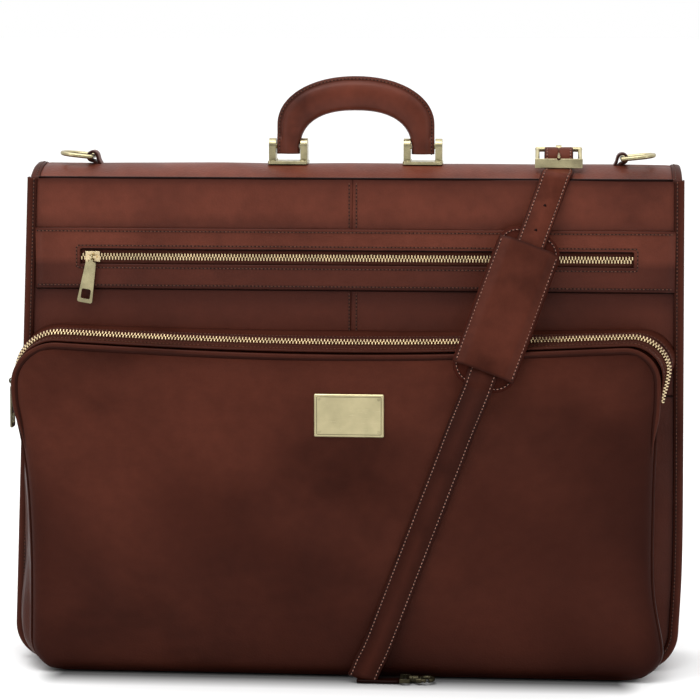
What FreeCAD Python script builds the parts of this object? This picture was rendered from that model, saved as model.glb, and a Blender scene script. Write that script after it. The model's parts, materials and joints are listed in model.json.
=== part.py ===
"""Leather bi-fold garment bag, standing folded on its base.

Two shallow halves hang from a crowned spine and open flat.  Y is measured from
the plane where the folded halves meet; save() moves it to the bag's own origin.
"""
import FreeCAD, Part
import math
import os

V = FreeCAD.Vector

# ---- driving dimensions, mm ----
SPLIT_Y = 28.6            # where the halves meet, from the origin
HALF_DEPTH = 38.0         # one half, from the meeting plane to its outer face
TOP_HALF_WIDTH = 292.5
BASE_HALF_WIDTH = 306.5
SEAM_HEIGHT = 446.0       # top seam, where the spine starts
CREST_HEIGHT = 457.0      # middle of the crowned spine
LEATHER = 2.4
BOARD = 1.8
CLOTH = 1.2
GAP = 0.4                 # between bodies that move past each other
PANEL_FOOT = 1.2          # lower edge of the outer panels above the ground
CORNER_TOP = 14.0
CORNER_BASE = 32.0
LINING_RECESS = 5.0       # lining behind the meeting plane

POCKET_DEPTH = 46.0
POCKET_BASE_HALF = 296.0  # at the bag
POCKET_FRONT_HALF = 281.0
POCKET_BASE_SHIFT = -6.0  # the slack pocket leans to the left
POCKET_FRONT_SHIFT = -11.0
POCKET_BASE_TOP = 314.0
POCKET_FRONT_TOP = 302.0
POCKET_RADIUS = 36.0
POCKET_FOOT = 3.0         # lower edge of the pocket's front panel
PIPING = 1.6
PIPING_PROUD = 0.6        # how far the piping stands in front of the panel
POCKET_ZIP_END = 250.0    # how far down the sides the pocket zip runs
POCKET_SLIDER_Z = 264.0
POCKET_SLIDER_LIFT = 2.1  # slider's back above the gusset
TAPE_HALF = 15.0
GROOVE_HALF = 5.4         # bare strip of gusset under the zip chain

ZIP_Z = 375.0             # upper zip
ZIP_LEFT = -246.0
ZIP_RIGHT = 250.0
SLIDER_START = 11.0       # closed slider from the zip's left end
SLOT_HEIGHT = 13.0
BAND_LOW = 346.0
BAND_HIGH = 401.0
CHAIN_HEIGHT = 6.0
POCKET_BAG_HALF = 262.0   # cloth bag behind the upper zip
POCKET_BAG_LOW = 190.0
POCKET_BAG_HIGH = 392.0
POCKET_BAG_DEPTH = (-31.5, -27.5)
BRIDGE_Y = -7.45          # middle of a slider's bridge, from the slider's back
SLIDER_INSIDE = 1.4       # depth of a slider's cheeks

INNER_ZIP_Z = 330.0       # zip of the lining's compartment
INNER_ZIP_HALF = 200.0
INNER_TAPE_HALF = 14.0
INNER_CHAIN_HALF = 2.4
INNER_PULL_LENGTH = 24.0

STRAP_WIDTH = 26.0
STRAP_THICK = 3.2
STRAP_SLOPE = 0.37        # sideways lean of the strap per unit of height
STRAP_FOOT_X = 14.0
STRAP_TOP_Z = 440.0
STRAP_TOP_Y = -42.0
STRAP_BEND_Z = 268.0      # where the strap clears the pocket's edge
STRAP_BEND_Y = -107.0
STRAP_TAIL_LOW_Z = 150.0
PAD_LENGTH = 122.0
BACKING_LENGTH = 150.0
BACKING_THICK = 2.6
PAD_WIDTH = 56.0
PAD_ALONG = 77.0          # pad's middle, from the strap's bend

GATE_Y = -5.4             # a hook's sprung gate, beside its swivel axis
GATE_R = 1.4

BRACKET_X = 61.0
PIN_Z = 473.0
PIN_R = 2.5
GRIP_GAP = 22.4           # between a bracket's posts
GRIP_WIDTH = 20.4
GRIP_THICK = 16.0
GRIP_TOP = 536.0
GRIP_INNER_TOP = 506.0
GRIP_OUTER_RADIUS = 52.0
GRIP_INNER_RADIUS = 30.0

RING_X = 240.0
RING_Z = CREST_HEIGHT + 5.9
RING_WIRE = 2.0
RING_HALF = 14.5          # wire centre to centre, halved
RING_SIDE = 14.0

BUCKLE_X = 183.0
BUCKLE_WIRE = 2.2
BUCKLE_HALF = 19.0
BUCKLE_FRONT = (-27.0, 459.8)   # front bar, y and z
BUCKLE_BAR_HEIGHT = 8.6
BUCKLE_REAR = (-4.0, 471.0)

PLATE_HALF_WIDTH = 31.0    # nameplate
PLATE_LOW = 220.5
PLATE_HIGH = 259.0
PLATE_CORNER = 1.2
PLATE_THICK = 2.0
PLATE_CHAMFER = 0.7

CLEAR = 400.0             # cutting boxes reach past the bag's sides

FRONT_Y = -HALF_DEPTH
FRONT_INSIDE = FRONT_Y + LEATHER
POCKET_Y = FRONT_Y - POCKET_DEPTH
FRONT_HOOK_AT = (57.4, POCKET_Y - 10.5, 4.0)
TAIL_HOOK_AT = (196.3, HALF_DEPTH + 9.0, STRAP_TAIL_LOW_Z - 4)


# ---- shape helpers ----
def box(x0, x1, y0, y1, z0, z1):
    return Part.makeBox(x1 - x0, y1 - y0, z1 - z0, V(x0, y0, z0))


def rod(p, q, radius):
    a, b = V(*p), V(*q)
    return Part.makeCylinder(radius, (b - a).Length, a, b - a)


def outline(corners, radii, y):
    """A closed outline in an XZ plane, each corner rounded with its own radius."""
    points = [V(x, y, z) for x, z in corners]
    count = len(points)
    starts, ends, arcs = [], [], []
    for i, corner in enumerate(points):
        before = (points[i - 1] - corner).normalize()
        after = (points[(i + 1) % count] - corner).normalize()
        half = before.getAngle(after) / 2
        reach = radii[i] / math.tan(half)
        to_middle = (before + after).normalize()
        centre = corner + to_middle * (radii[i] / math.sin(half))
        starts.append(corner + before * reach)
        ends.append(corner + after * reach)
        arcs.append(centre - to_middle * radii[i])
    edges = []
    for i in range(count):
        edges.append(Part.Arc(starts[i], arcs[i], ends[i]).toShape())
        edges.append(Part.makeLine(ends[i], starts[(i + 1) % count]))
    return Part.Wire(edges)


def plate(wire, depth):
    return Part.Face(wire).extrude(V(0, depth, 0))


def body_wire(y, inset=0.0, foot=0.0, top=SEAM_HEIGHT):
    """One half's outline: a little wider at its base than at its top."""
    base, head = BASE_HALF_WIDTH - inset, TOP_HALF_WIDTH - inset
    low, high = foot + inset, top - inset
    corners = [(-base, low), (base, low), (head, high), (-head, high)]
    lower, upper = CORNER_BASE - inset, max(CORNER_TOP - inset, 3.0)
    return outline(corners, [lower, lower, upper, upper], y)


def pocket_wire(y, inset=0.0):
    """The big pocket's outline, which narrows from the bag to its front."""
    part = (FRONT_Y - y) / POCKET_DEPTH
    half = POCKET_BASE_HALF + (POCKET_FRONT_HALF - POCKET_BASE_HALF) * part - inset
    high = POCKET_BASE_TOP + (POCKET_FRONT_TOP - POCKET_BASE_TOP) * part - inset
    shift = POCKET_BASE_SHIFT + (POCKET_FRONT_SHIFT - POCKET_BASE_SHIFT) * part
    left, right, low = shift - half, shift + half, inset
    corners = [(left, low), (right, low), (right, high), (left, high)]
    return outline(corners, [POCKET_RADIUS - inset] * 4, y)


def pocket_loft(y0, y1, inset):
    return Part.makeLoft([pocket_wire(y0, inset), pocket_wire(y1, inset)], True, True)


def mirrored(shape):
    return shape.mirror(V(0, 0, 0), V(0, 1, 0))


def both_sides(shape):
    return Part.makeCompound([shape, shape.mirror(V(0, 0, 0), V(1, 0, 0))])


def placed(shape, at, along, across):
    """Move a shape made at the origin along X, flat in XY, to its place."""
    x_axis = V(*along).normalize()
    z_axis = x_axis.cross(V(*across)).normalize()
    y_axis = z_axis.cross(x_axis)
    matrix = FreeCAD.Matrix(x_axis.x, y_axis.x, z_axis.x, at[0],
                            x_axis.y, y_axis.y, z_axis.y, at[1],
                            x_axis.z, y_axis.z, z_axis.z, at[2], 0, 0, 0, 1)
    moved = shape.copy()
    moved.Placement = FreeCAD.Placement(matrix).multiply(moved.Placement)
    return moved


def save(name, shape):
    shape = shape.copy()
    shape.translate(V(0, SPLIT_Y, 0))
    shape.exportStep("parts/%s.step" % name)


# ---- the two halves ----
def front_skin():
    slot = box(ZIP_LEFT, ZIP_RIGHT, FRONT_Y - 5, 0, ZIP_Z - SLOT_HEIGHT / 2, ZIP_Z + SLOT_HEIGHT / 2)
    return plate(body_wire(FRONT_Y, foot=PANEL_FOOT), LEATHER).cut(slot), slot


def left_of_seam(shape):
    return shape.common(box(-CLEAR, 0, -CLEAR, CLEAR, -CLEAR, 2 * CLEAR))


def right_of_seam(shape):
    return shape.common(box(0, CLEAR, -CLEAR, CLEAR, -CLEAR, 2 * CLEAR))


def zip_band(slot):
    half = TOP_HALF_WIDTH - 1.0
    band = box(-half, half, FRONT_Y - 1.4, FRONT_Y, BAND_LOW, BAND_HIGH)
    edge = plate(body_wire(FRONT_Y - 2, inset=8.0), 3.0)
    return band.common(edge).cut(slot)


def board(slot=None):
    flat = plate(body_wire(FRONT_INSIDE, inset=6.0, top=SEAM_HEIGHT - 4), BOARD)
    if slot:
        flat = flat.cut(box(ZIP_LEFT - 8, ZIP_RIGHT + 8, FRONT_Y, 0, ZIP_Z - 14, ZIP_Z + 14))
    return flat


def gusset():
    """The wall round one half, from its outer panel to the meeting plane."""
    top = SEAM_HEIGHT - 4.0
    depth = HALF_DEPTH - LEATHER - GAP
    outer = plate(body_wire(FRONT_INSIDE, top=top), depth)
    inner = plate(body_wire(FRONT_INSIDE - 1, inset=LEATHER, top=top), depth + 2)
    return outer.cut(inner)


def binding():
    """Edge binding: a strip on the face and its turn round the side."""
    face = plate(body_wire(FRONT_Y - 1.0, inset=-1.0, foot=PANEL_FOOT), 1.0)
    face = face.cut(plate(body_wire(FRONT_Y - 2, inset=8.0, foot=PANEL_FOOT), 3.0))
    turn = plate(body_wire(FRONT_Y, inset=-1.0, foot=PANEL_FOOT), 8.0)
    for foot in (0.0, PANEL_FOOT):
        turn = turn.cut(plate(body_wire(FRONT_Y - 1, foot=foot), 10.0))
    whole = face.cut(pocket_loft(FRONT_Y + 1, FRONT_Y - 3, -0.3)).fuse(turn)
    clear_of_spine = box(-CLEAR, CLEAR, -CLEAR, 0, SEAM_HEIGHT - 8, 2 * CLEAR)
    clear_of_base = box(-260, 260, -60, 0, -5, 30)
    return whole.cut(clear_of_spine).cut(clear_of_base)


def lining():
    flat = body_wire(-LINING_RECESS - CLOTH, inset=LEATHER + 0.2, top=SEAM_HEIGHT - 4)
    return plate(flat, CLOTH)


# ---- zips ----
def zip_tape(x0, x1, y, z):
    upper = box(x0, x1, y, y + 0.8, z + CHAIN_HEIGHT / 2, z + 13)
    lower = box(x0, x1, y, y + 0.8, z - 13, z - CHAIN_HEIGHT / 2)
    return Part.makeCompound([upper, lower])


def slider_shape(bridge_turned=False):
    """A slider along X, its face towards -Y: a plate, two cheeks and a bridge for the pull."""
    face = box(-6.5, 6.5, -3.2, -1.4, -4.7, 4.7)
    cheeks = [box(-6.5, 6.5, -1.4, 0.0, z, z + 1.0) for z in (-4.7, 3.7)]
    bridge = box(-4.0, 4.0, BRIDGE_Y - 0.55, -3.0, -1.0, 1.0)
    bridge = bridge.cut(box(-2.6, 2.6, BRIDGE_Y + 0.55, -3.2, -2, 2))
    if bridge_turned:
        bridge.rotate(V(0, 0, 0), V(0, 1, 0), 90)
    return face.fuse(cheeks + [bridge]).removeSplitter()


def pull_shape(lean):
    """A zip pull hanging in XZ from an eye round the X axis: a flared plate with a slot."""
    eye = Part.makeTorus(2.2, 0.7, V(0, 0, 0), V(1, 0, 0))
    corners = [(-7.0, -42.0), (7.0, -42.0), (4.6, -4.6), (-4.6, -4.6)]
    tag = plate(outline(corners, [2.0, 2.0, 1.5, 1.5], -0.9), 1.8)
    neck = box(-1.6, 1.6, -0.9, 0.9, -5.0, -2.3)
    hole = plate(outline([(-4.2, -38.5), (4.2, -38.5), (4.2, -29.5), (-4.2, -29.5)], [1.5] * 4, -2), 4)
    tag = tag.cut(hole).fuse(neck)
    tag.rotate(V(0, 0, 0), V(0, 1, 0), lean)
    return tag.fuse(eye).removeSplitter()


def flat_pull(length):
    """The lining zip's slim pull, hanging from the origin."""
    corners = [(-3.0, -length), (3.0, -length), (2.2, 1.5), (-2.2, 1.5)]
    tag = plate(outline(corners, [1.5, 1.5, 1.0, 1.0], -0.5), 1.0)
    return tag.cut(rod((0, -2, 0), (0, 2, 0), 0.6))


# ---- the big pocket ----
def pocket_gusset():
    outer = pocket_loft(FRONT_Y, POCKET_Y + LEATHER, 0.0)
    inner = pocket_loft(FRONT_Y, POCKET_Y + LEATHER, LEATHER)
    return outer.cut(inner)


def pocket_front_corners(inset):
    """Corners of the pocket's front, taken in from the piping's outer edge."""
    left = POCKET_FRONT_SHIFT - POCKET_FRONT_HALF + inset
    right = POCKET_FRONT_SHIFT + POCKET_FRONT_HALF - inset
    low, top = POCKET_FOOT - PIPING + inset, POCKET_FRONT_TOP - inset
    return [(left, low), (right, low), (right, top), (left, top)]


def pocket_panel():
    edge = outline(pocket_front_corners(PIPING), [POCKET_RADIUS - PIPING] * 4, POCKET_Y)
    return plate(edge, LEATHER)


def pocket_piping():
    edge = outline(pocket_front_corners(0.0), [POCKET_RADIUS] * 4, POCKET_Y - PIPING_PROUD)
    hole = outline(pocket_front_corners(PIPING), [POCKET_RADIUS - PIPING] * 4, POCKET_Y - 2)
    return plate(edge, LEATHER + PIPING_PROUD).cut(plate(hole, LEATHER + 4))


def pocket_ribbon(y0, y1, grow):
    """A strip on the gusset's outside, over the top and part way down both sides."""
    outer = pocket_loft(y0, y1, -grow)
    inner = pocket_loft(y0 + 0.01, y1 - 0.01, 0.0)
    return outer.cut(inner).common(box(-CLEAR, CLEAR, -CLEAR, 0, POCKET_ZIP_END, CLEAR))


# ---- strap ----
def strap_x(z):
    return STRAP_FOOT_X + STRAP_SLOPE * z


def strap_point(y, z):
    return V(strap_x(z), y, z)


def strap_run(p, q, width=STRAP_WIDTH, thick=STRAP_THICK):
    """A flat length of strap from p to q, lying broadside to the front or back."""
    along = q - p
    strip = Part.makeBox(along.Length, width, thick, V(0, -width / 2, -thick / 2))
    across = V(0, 1, 0).cross(along)
    return placed(strip, (p.x, p.y, p.z), tuple(along), tuple(across))


def strap_front():
    top = strap_point(STRAP_TOP_Y, STRAP_TOP_Z)
    bend = strap_point(STRAP_BEND_Y, STRAP_BEND_Z)
    hang = strap_point(POCKET_Y - 4.0, 195.0)
    foot = strap_point(POCKET_Y - 10.5, 5.0)
    runs = [strap_run(bend, top), strap_run(hang, bend), strap_run(foot, hang)]
    turned_under = box(12, 46, POCKET_Y - 16.5, POCKET_Y - 4.5, 0.4, 3.6)
    whole = runs[0].fuse(runs[1:] + [turned_under])
    holes = [strap_point(0, z) for z in (425.0, 400.0)]
    for hole in holes:
        whole = whole.cut(rod((hole.x, -90, hole.z), (hole.x, 0, hole.z), 1.6))
    return whole.removeSplitter()


def pad_frame():
    bend = strap_point(STRAP_BEND_Y, STRAP_BEND_Z)
    along = (strap_point(STRAP_TOP_Y, STRAP_TOP_Z) - bend).normalize()
    return bend + along * PAD_ALONG, along


def in_pad_frame(shape):
    middle, along = pad_frame()
    return placed(shape, tuple(middle), tuple(along), tuple(along.cross(V(0, 1, 0))))


def pad_sleeve():
    low = -STRAP_THICK / 2 - 0.3
    half = PAD_LENGTH / 2
    cover = box(-half, half, -PAD_WIDTH / 2, PAD_WIDTH / 2, low, 6.0)
    channel = box(-half - 1, half + 1, -STRAP_WIDTH / 2 - 0.6, STRAP_WIDTH / 2 + 0.6, low - 1, -low)
    return in_pad_frame(cover.cut(channel))


def pad_backing():
    high = -STRAP_THICK / 2 - 0.3
    half, wide = BACKING_LENGTH / 2, PAD_WIDTH / 2 + 1
    corners = [(-half, -wide), (half, -wide), (half, wide), (-half, wide)]
    flat = plate(outline(corners, [16.0] * 4, 0), BACKING_THICK)
    flat.rotate(V(0, 0, 0), V(1, 0, 0), 90)
    flat.translate(V(0, 0, high - BACKING_THICK - flat.BoundBox.ZMin))
    return in_pad_frame(flat)


def crown(y):
    """Height of the crowned spine at y."""
    return SEAM_HEIGHT + (CREST_HEIGHT - SEAM_HEIGHT) * (1 - (y / 35.0) ** 2)


def strap_over_top():
    """The strap where it lies over the crowned spine."""
    stations = [-34.0, -22.0, -8.0, 8.0, 22.0, 34.0]
    runs = []
    for a, b in zip(stations, stations[1:]):
        lift = 0.8 + STRAP_THICK / 2
        p = V(BUCKLE_X, a, crown(a) + lift)
        q = V(BUCKLE_X, b, crown(b) + lift)
        strip = Part.makeBox((q - p).Length, STRAP_WIDTH, STRAP_THICK,
                             V(0, -STRAP_WIDTH / 2, -STRAP_THICK / 2))
        runs.append(placed(strip, tuple(p), tuple(q - p), (-1, 0, 0)))
    return runs[0].fuse(runs[1:]).removeSplitter()


def strap_tail():
    return strap_run(V(196, HALF_DEPTH + 3.4, STRAP_TAIL_LOW_Z), V(186, HALF_DEPTH + 3.4, STRAP_TOP_Z))


# ---- swivel snap hooks, made at the origin with the swivel along X ----
def swivel_base():
    frame = box(-11, -2, -9, 9, -1.8, 1.8).cut(box(-8.4, -4.6, -6.8, 6.8, -3, 3))
    boss = rod((-2.4, 0, 0), (0, 0, 0), 3.2)
    return frame.fuse(boss).cut(rod((-1.8, 0, 0), (1, 0, 0), 1.56)).removeSplitter()


def hook_body():
    stem = rod((-1.6, 0, 0), (3, 0, 0), 1.5)
    neck = rod((0.3, 0, 0), (5.5, 0, 0), 3.2)
    bow = Part.makeTorus(5.6, 1.8, V(13, 0, 0), V(0, 0, 1), -180, 180, 250)
    bow.rotate(V(13, 0, 0), V(0, 0, 1), -70)
    web = rod((4.4, 0, 0), (4.4, GATE_Y, 0), 1.6)
    sheath = rod((3.6, GATE_Y, 0), (8.4, GATE_Y, 0), 2.3)
    bore = rod((4.8, GATE_Y, 0), (9.0, GATE_Y, 0), GATE_R + 0.06)
    return stem.fuse([neck, bow, web, sheath]).cut(bore).removeSplitter()


def hook_trigger():
    """The sprung bar that closes a hook, with its thumb knob."""
    bar = rod((8.0, GATE_Y, 0), (12.6, GATE_Y, 0), GATE_R)
    knob = rod((11.6, GATE_Y, 0), (11.6, GATE_Y - 3.6, 0), 1.0)
    return bar.fuse(knob).removeSplitter()


# ---- spine, handle, rings, buckle ----
def spine_cover():
    half = TOP_HALF_WIDTH - 5
    a, m, b = V(-half, -35, SEAM_HEIGHT), V(-half, 0, CREST_HEIGHT), V(-half, 35, SEAM_HEIGHT)
    drop = V(0, 0, -LEATHER)
    edges = [Part.Arc(a, m, b).toShape(), Part.makeLine(b, b + drop),
             Part.Arc(b + drop, m + drop, a + drop).toShape(), Part.makeLine(a + drop, a)]
    return Part.Face(Part.Wire(edges)).extrude(V(2 * half, 0, 0))


def spine_padding():
    half = TOP_HALF_WIDTH - 8
    low = SEAM_HEIGHT - LEATHER + 0.1
    a, m, b = V(-half, -34, low + 0.3), V(-half, 0, CREST_HEIGHT - LEATHER - 0.1), V(-half, 34, low + 0.3)
    edges = [Part.Arc(a, m, b).toShape(), Part.makeLine(b, V(-half, 34, low)),
             Part.makeLine(V(-half, 34, low), V(-half, -34, low)), Part.makeLine(V(-half, -34, low), a)]
    return Part.Face(Part.Wire(edges)).extrude(V(2 * half, 0, 0))


def bracket():
    """One handle bracket: a base on the crest and two ears with a pin hole."""
    base = Part.makeBox(36, 26, 2.6, V(BRACKET_X - 18, -13, CREST_HEIGHT + 0.1))
    base = base.makeFillet(2.4, [e for e in base.Edges if abs(e.tangentAt(0).z) > 0.9])
    top = CREST_HEIGHT + 2.7
    for side in (-1, 1):
        x = BRACKET_X + side * (GRIP_GAP + 6.2) / 2
        ear = Part.makeBox(6.2, 14, PIN_Z - top, V(x - 3.1, -7, top - 0.2))
        ear = ear.fuse(rod((x - 3.1, 0, PIN_Z), (x + 3.1, 0, PIN_Z), 7.0))
        base = base.fuse(ear)
    return base.cut(rod((BRACKET_X - 30, 0, PIN_Z), (BRACKET_X + 30, 0, PIN_Z), PIN_R)).removeSplitter()


def grip_outline(y, inset):
    """The arched grip seen from the front, as one closed outline."""
    outer = BRACKET_X + GRIP_WIDTH / 2 - inset
    inner = BRACKET_X - GRIP_WIDTH / 2 + inset
    foot = PIN_Z - 7.0 + inset
    top, under = GRIP_TOP - inset, GRIP_INNER_TOP + inset
    corners = [(-outer, foot), (-inner, foot), (-inner, under), (inner, under),
               (inner, foot), (outer, foot), (outer, top), (-outer, top)]
    small = 2.0
    bow, arch = GRIP_OUTER_RADIUS - inset, GRIP_INNER_RADIUS + inset
    radii = [small, small, arch, arch, small, small, bow, bow]
    return outline(corners, radii, y)


def grip_cover(core):
    solid = plate(grip_outline(-GRIP_THICK / 2, 0.0), GRIP_THICK)
    sides = [e for e in solid.Edges if abs(e.BoundBox.YLength) < 0.01 and e.BoundBox.ZMin > PIN_Z + 3]
    solid = solid.makeFillet(4.0, sides)
    holes = [rod((s * 80, 0, PIN_Z), (s * 40, 0, PIN_Z), 4.0) for s in (-1, 1)]
    return solid.cut(holes[0].fuse(holes[1])).cut(core)


def grip_core():
    solid = plate(grip_outline(-4.0, 5.0), 8.0)
    return solid.cut(box(-80, 80, -20, 20, 0, PIN_Z + 5))


def grip_ferrules():
    one = rod((BRACKET_X - GRIP_WIDTH / 2, 0, PIN_Z), (BRACKET_X + GRIP_WIDTH / 2, 0, PIN_Z), 4.0)
    one = one.cut(rod((BRACKET_X - 20, 0, PIN_Z), (BRACKET_X + 20, 0, PIN_Z), PIN_R + 0.06))
    return both_sides(one)


def handle_pins():
    reach = GRIP_GAP / 2 + 6.2
    pin = rod((BRACKET_X - reach, 0, PIN_Z), (BRACKET_X + reach, 0, PIN_Z), PIN_R)
    return both_sides(pin)


def d_ring(side):
    """A D-ring with its bar along Y at RING_X and its bow outboard."""
    x0, x1 = RING_X, RING_X + RING_SIDE
    bar = rod((x0, -RING_HALF, RING_Z), (x0, RING_HALF, RING_Z), RING_WIRE)
    arms = [rod((x0, y, RING_Z), (x1, y, RING_Z), RING_WIRE) for y in (-RING_HALF, RING_HALF)]
    balls = [Part.makeSphere(RING_WIRE, V(x0, y, RING_Z)) for y in (-RING_HALF, RING_HALF)]
    bow = Part.makeTorus(RING_HALF, RING_WIRE, V(x1, 0, RING_Z), V(0, 0, 1), -180, 180, 180)
    bow.rotate(V(x1, 0, RING_Z), V(0, 0, 1), -90)
    ring = bar.fuse(arms + balls + [bow]).removeSplitter()
    ring.rotate(V(x0, 0, RING_Z), V(0, 1, 0), -6)
    return ring if side > 0 else ring.mirror(V(0, 0, 0), V(1, 0, 0))


def ring_tab():
    """Leather tab: a loop round the ring's bar and its foot on the crest."""
    loop = rod((RING_X, -10, RING_Z), (RING_X, 10, RING_Z), 5.4)
    foot = box(RING_X - 28, RING_X, -10, 10, CREST_HEIGHT + 0.1, CREST_HEIGHT + 3.4)
    whole = loop.fuse(foot).cut(rod((RING_X, -20, RING_Z), (RING_X, 20, RING_Z), RING_WIRE + 0.35))
    return whole.cut(box(RING_X - 40, RING_X + 20, -20, 20, 0, CREST_HEIGHT + 0.1)).removeSplitter()


def buckle_frame():
    corners = []
    for y, z in (BUCKLE_FRONT, BUCKLE_REAR):
        corners.append([(BUCKLE_X + s * BUCKLE_HALF, y, z) for s in (-1, 1)])
    front, rear = corners
    y, z = BUCKLE_FRONT
    wide, tall = BUCKLE_HALF + BUCKLE_WIRE, BUCKLE_BAR_HEIGHT / 2
    plain = box(BUCKLE_X - wide, BUCKLE_X + wide, y - 1.4, y + 1.4, z - tall, z + tall)
    plain = plain.makeFillet(0.7, plain.Edges)
    notch = rod((BUCKLE_X, y - 3, z + tall), (BUCKLE_X, y + 3, z + tall), 1.6)
    bars = [rod(rear[0], rear[1], BUCKLE_WIRE), rod(front[0], rear[0], BUCKLE_WIRE - 0.3),
            rod(front[1], rear[1], BUCKLE_WIRE - 0.3)]
    balls = [Part.makeSphere(BUCKLE_WIRE, V(*p)) for p in rear]
    return plain.cut(notch).fuse(bars + balls).removeSplitter()


def buckle_prong():
    y, z = BUCKLE_REAR
    collar = rod((BUCKLE_X - 2.5, y, z), (BUCKLE_X + 2.5, y, z), 3.8)
    tip_y, tip_z = BUCKLE_FRONT[0] - 2.4, BUCKLE_FRONT[1] + BUCKLE_BAR_HEIGHT / 2 + 1.6
    pin = rod((BUCKLE_X, y - 2.4, z), (BUCKLE_X, tip_y, tip_z), 1.3)
    whole = collar.fuse(pin)
    return whole.cut(rod((BUCKLE_X - 5, y, z), (BUCKLE_X + 5, y, z), BUCKLE_WIRE + 0.08)).removeSplitter()


def buckle_loop():
    """Strap end folded round the buckle's rear bar, split for the prong."""
    y, z = BUCKLE_REAR
    sides = []
    for x0, x1 in ((-13.0, -4.0), (4.0, 13.0)):
        turn = rod((BUCKLE_X + x0, y, z), (BUCKLE_X + x1, y, z), BUCKLE_WIRE + 2.6)
        leg = box(BUCKLE_X + x0, BUCKLE_X + x1, y + 0.5, y + 4.5, crown(y) + 4.2, z)
        sides.append(turn.fuse(leg).cut(rod((BUCKLE_X - 20, y, z), (BUCKLE_X + 20, y, z), BUCKLE_WIRE)))
    return Part.makeCompound(sides)


def bracket_rivets():
    heads = []
    for dx in (-13.0, 13.0):
        for y in (-10.0, 10.0):
            z = CREST_HEIGHT + 2.7
            heads.append(rod((BRACKET_X + dx, y, z), (BRACKET_X + dx, y, z + 1.2), 2.2))
    return both_sides(Part.makeCompound(heads))


# ---- nameplate ----
def nameplate():
    corners = [(-PLATE_HALF_WIDTH, PLATE_LOW), (PLATE_HALF_WIDTH, PLATE_LOW),
               (PLATE_HALF_WIDTH, PLATE_HIGH), (-PLATE_HALF_WIDTH, PLATE_HIGH)]
    solid = plate(outline(corners, [PLATE_CORNER] * 4, POCKET_Y - PLATE_THICK), PLATE_THICK)
    rim = [e for e in solid.Edges if e.BoundBox.YLength < 0.01 and e.BoundBox.YMax < POCKET_Y - 1]
    return solid.makeChamfer(PLATE_CHAMFER, rim)


def plate_rivets():
    heads = []
    y = POCKET_Y - PLATE_THICK
    for x in (-PLATE_HALF_WIDTH + 4.5, PLATE_HALF_WIDTH - 4.5):
        for z in (PLATE_LOW + 4.5, PLATE_HIGH - 4.5):
            heads.append(rod((x, y - 0.5, z), (x, y, z), 1.4))
    return Part.makeCompound(heads)


# ---- inside the rear half ----
def garment_straps():
    y = LINING_RECESS - 2.0
    return Part.makeCompound([box(-270, 270, y, y + 1.6, z, z + 28) for z in (110.0, 240.0)])


def hanger_clamp():
    base = box(-34, 34, 1.4, LINING_RECESS - 0.2, 392, 424)
    channel = box(-40, 40, 0, LINING_RECESS - 2.2, 403, 413)
    slots = [box(x - 3.5, x + 3.5, 0, LINING_RECESS, 395, 413) for x in (-16.0, 0.0, 16.0)]
    return base.cut(channel.fuse(slots))


def clamp_bar():
    bar = box(-44, 24, 1.4, LINING_RECESS - 2.6, 403.4, 412.6)
    return bar.cut(box(-42, -37, 0, 6, 405.5, 410.5))


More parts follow.
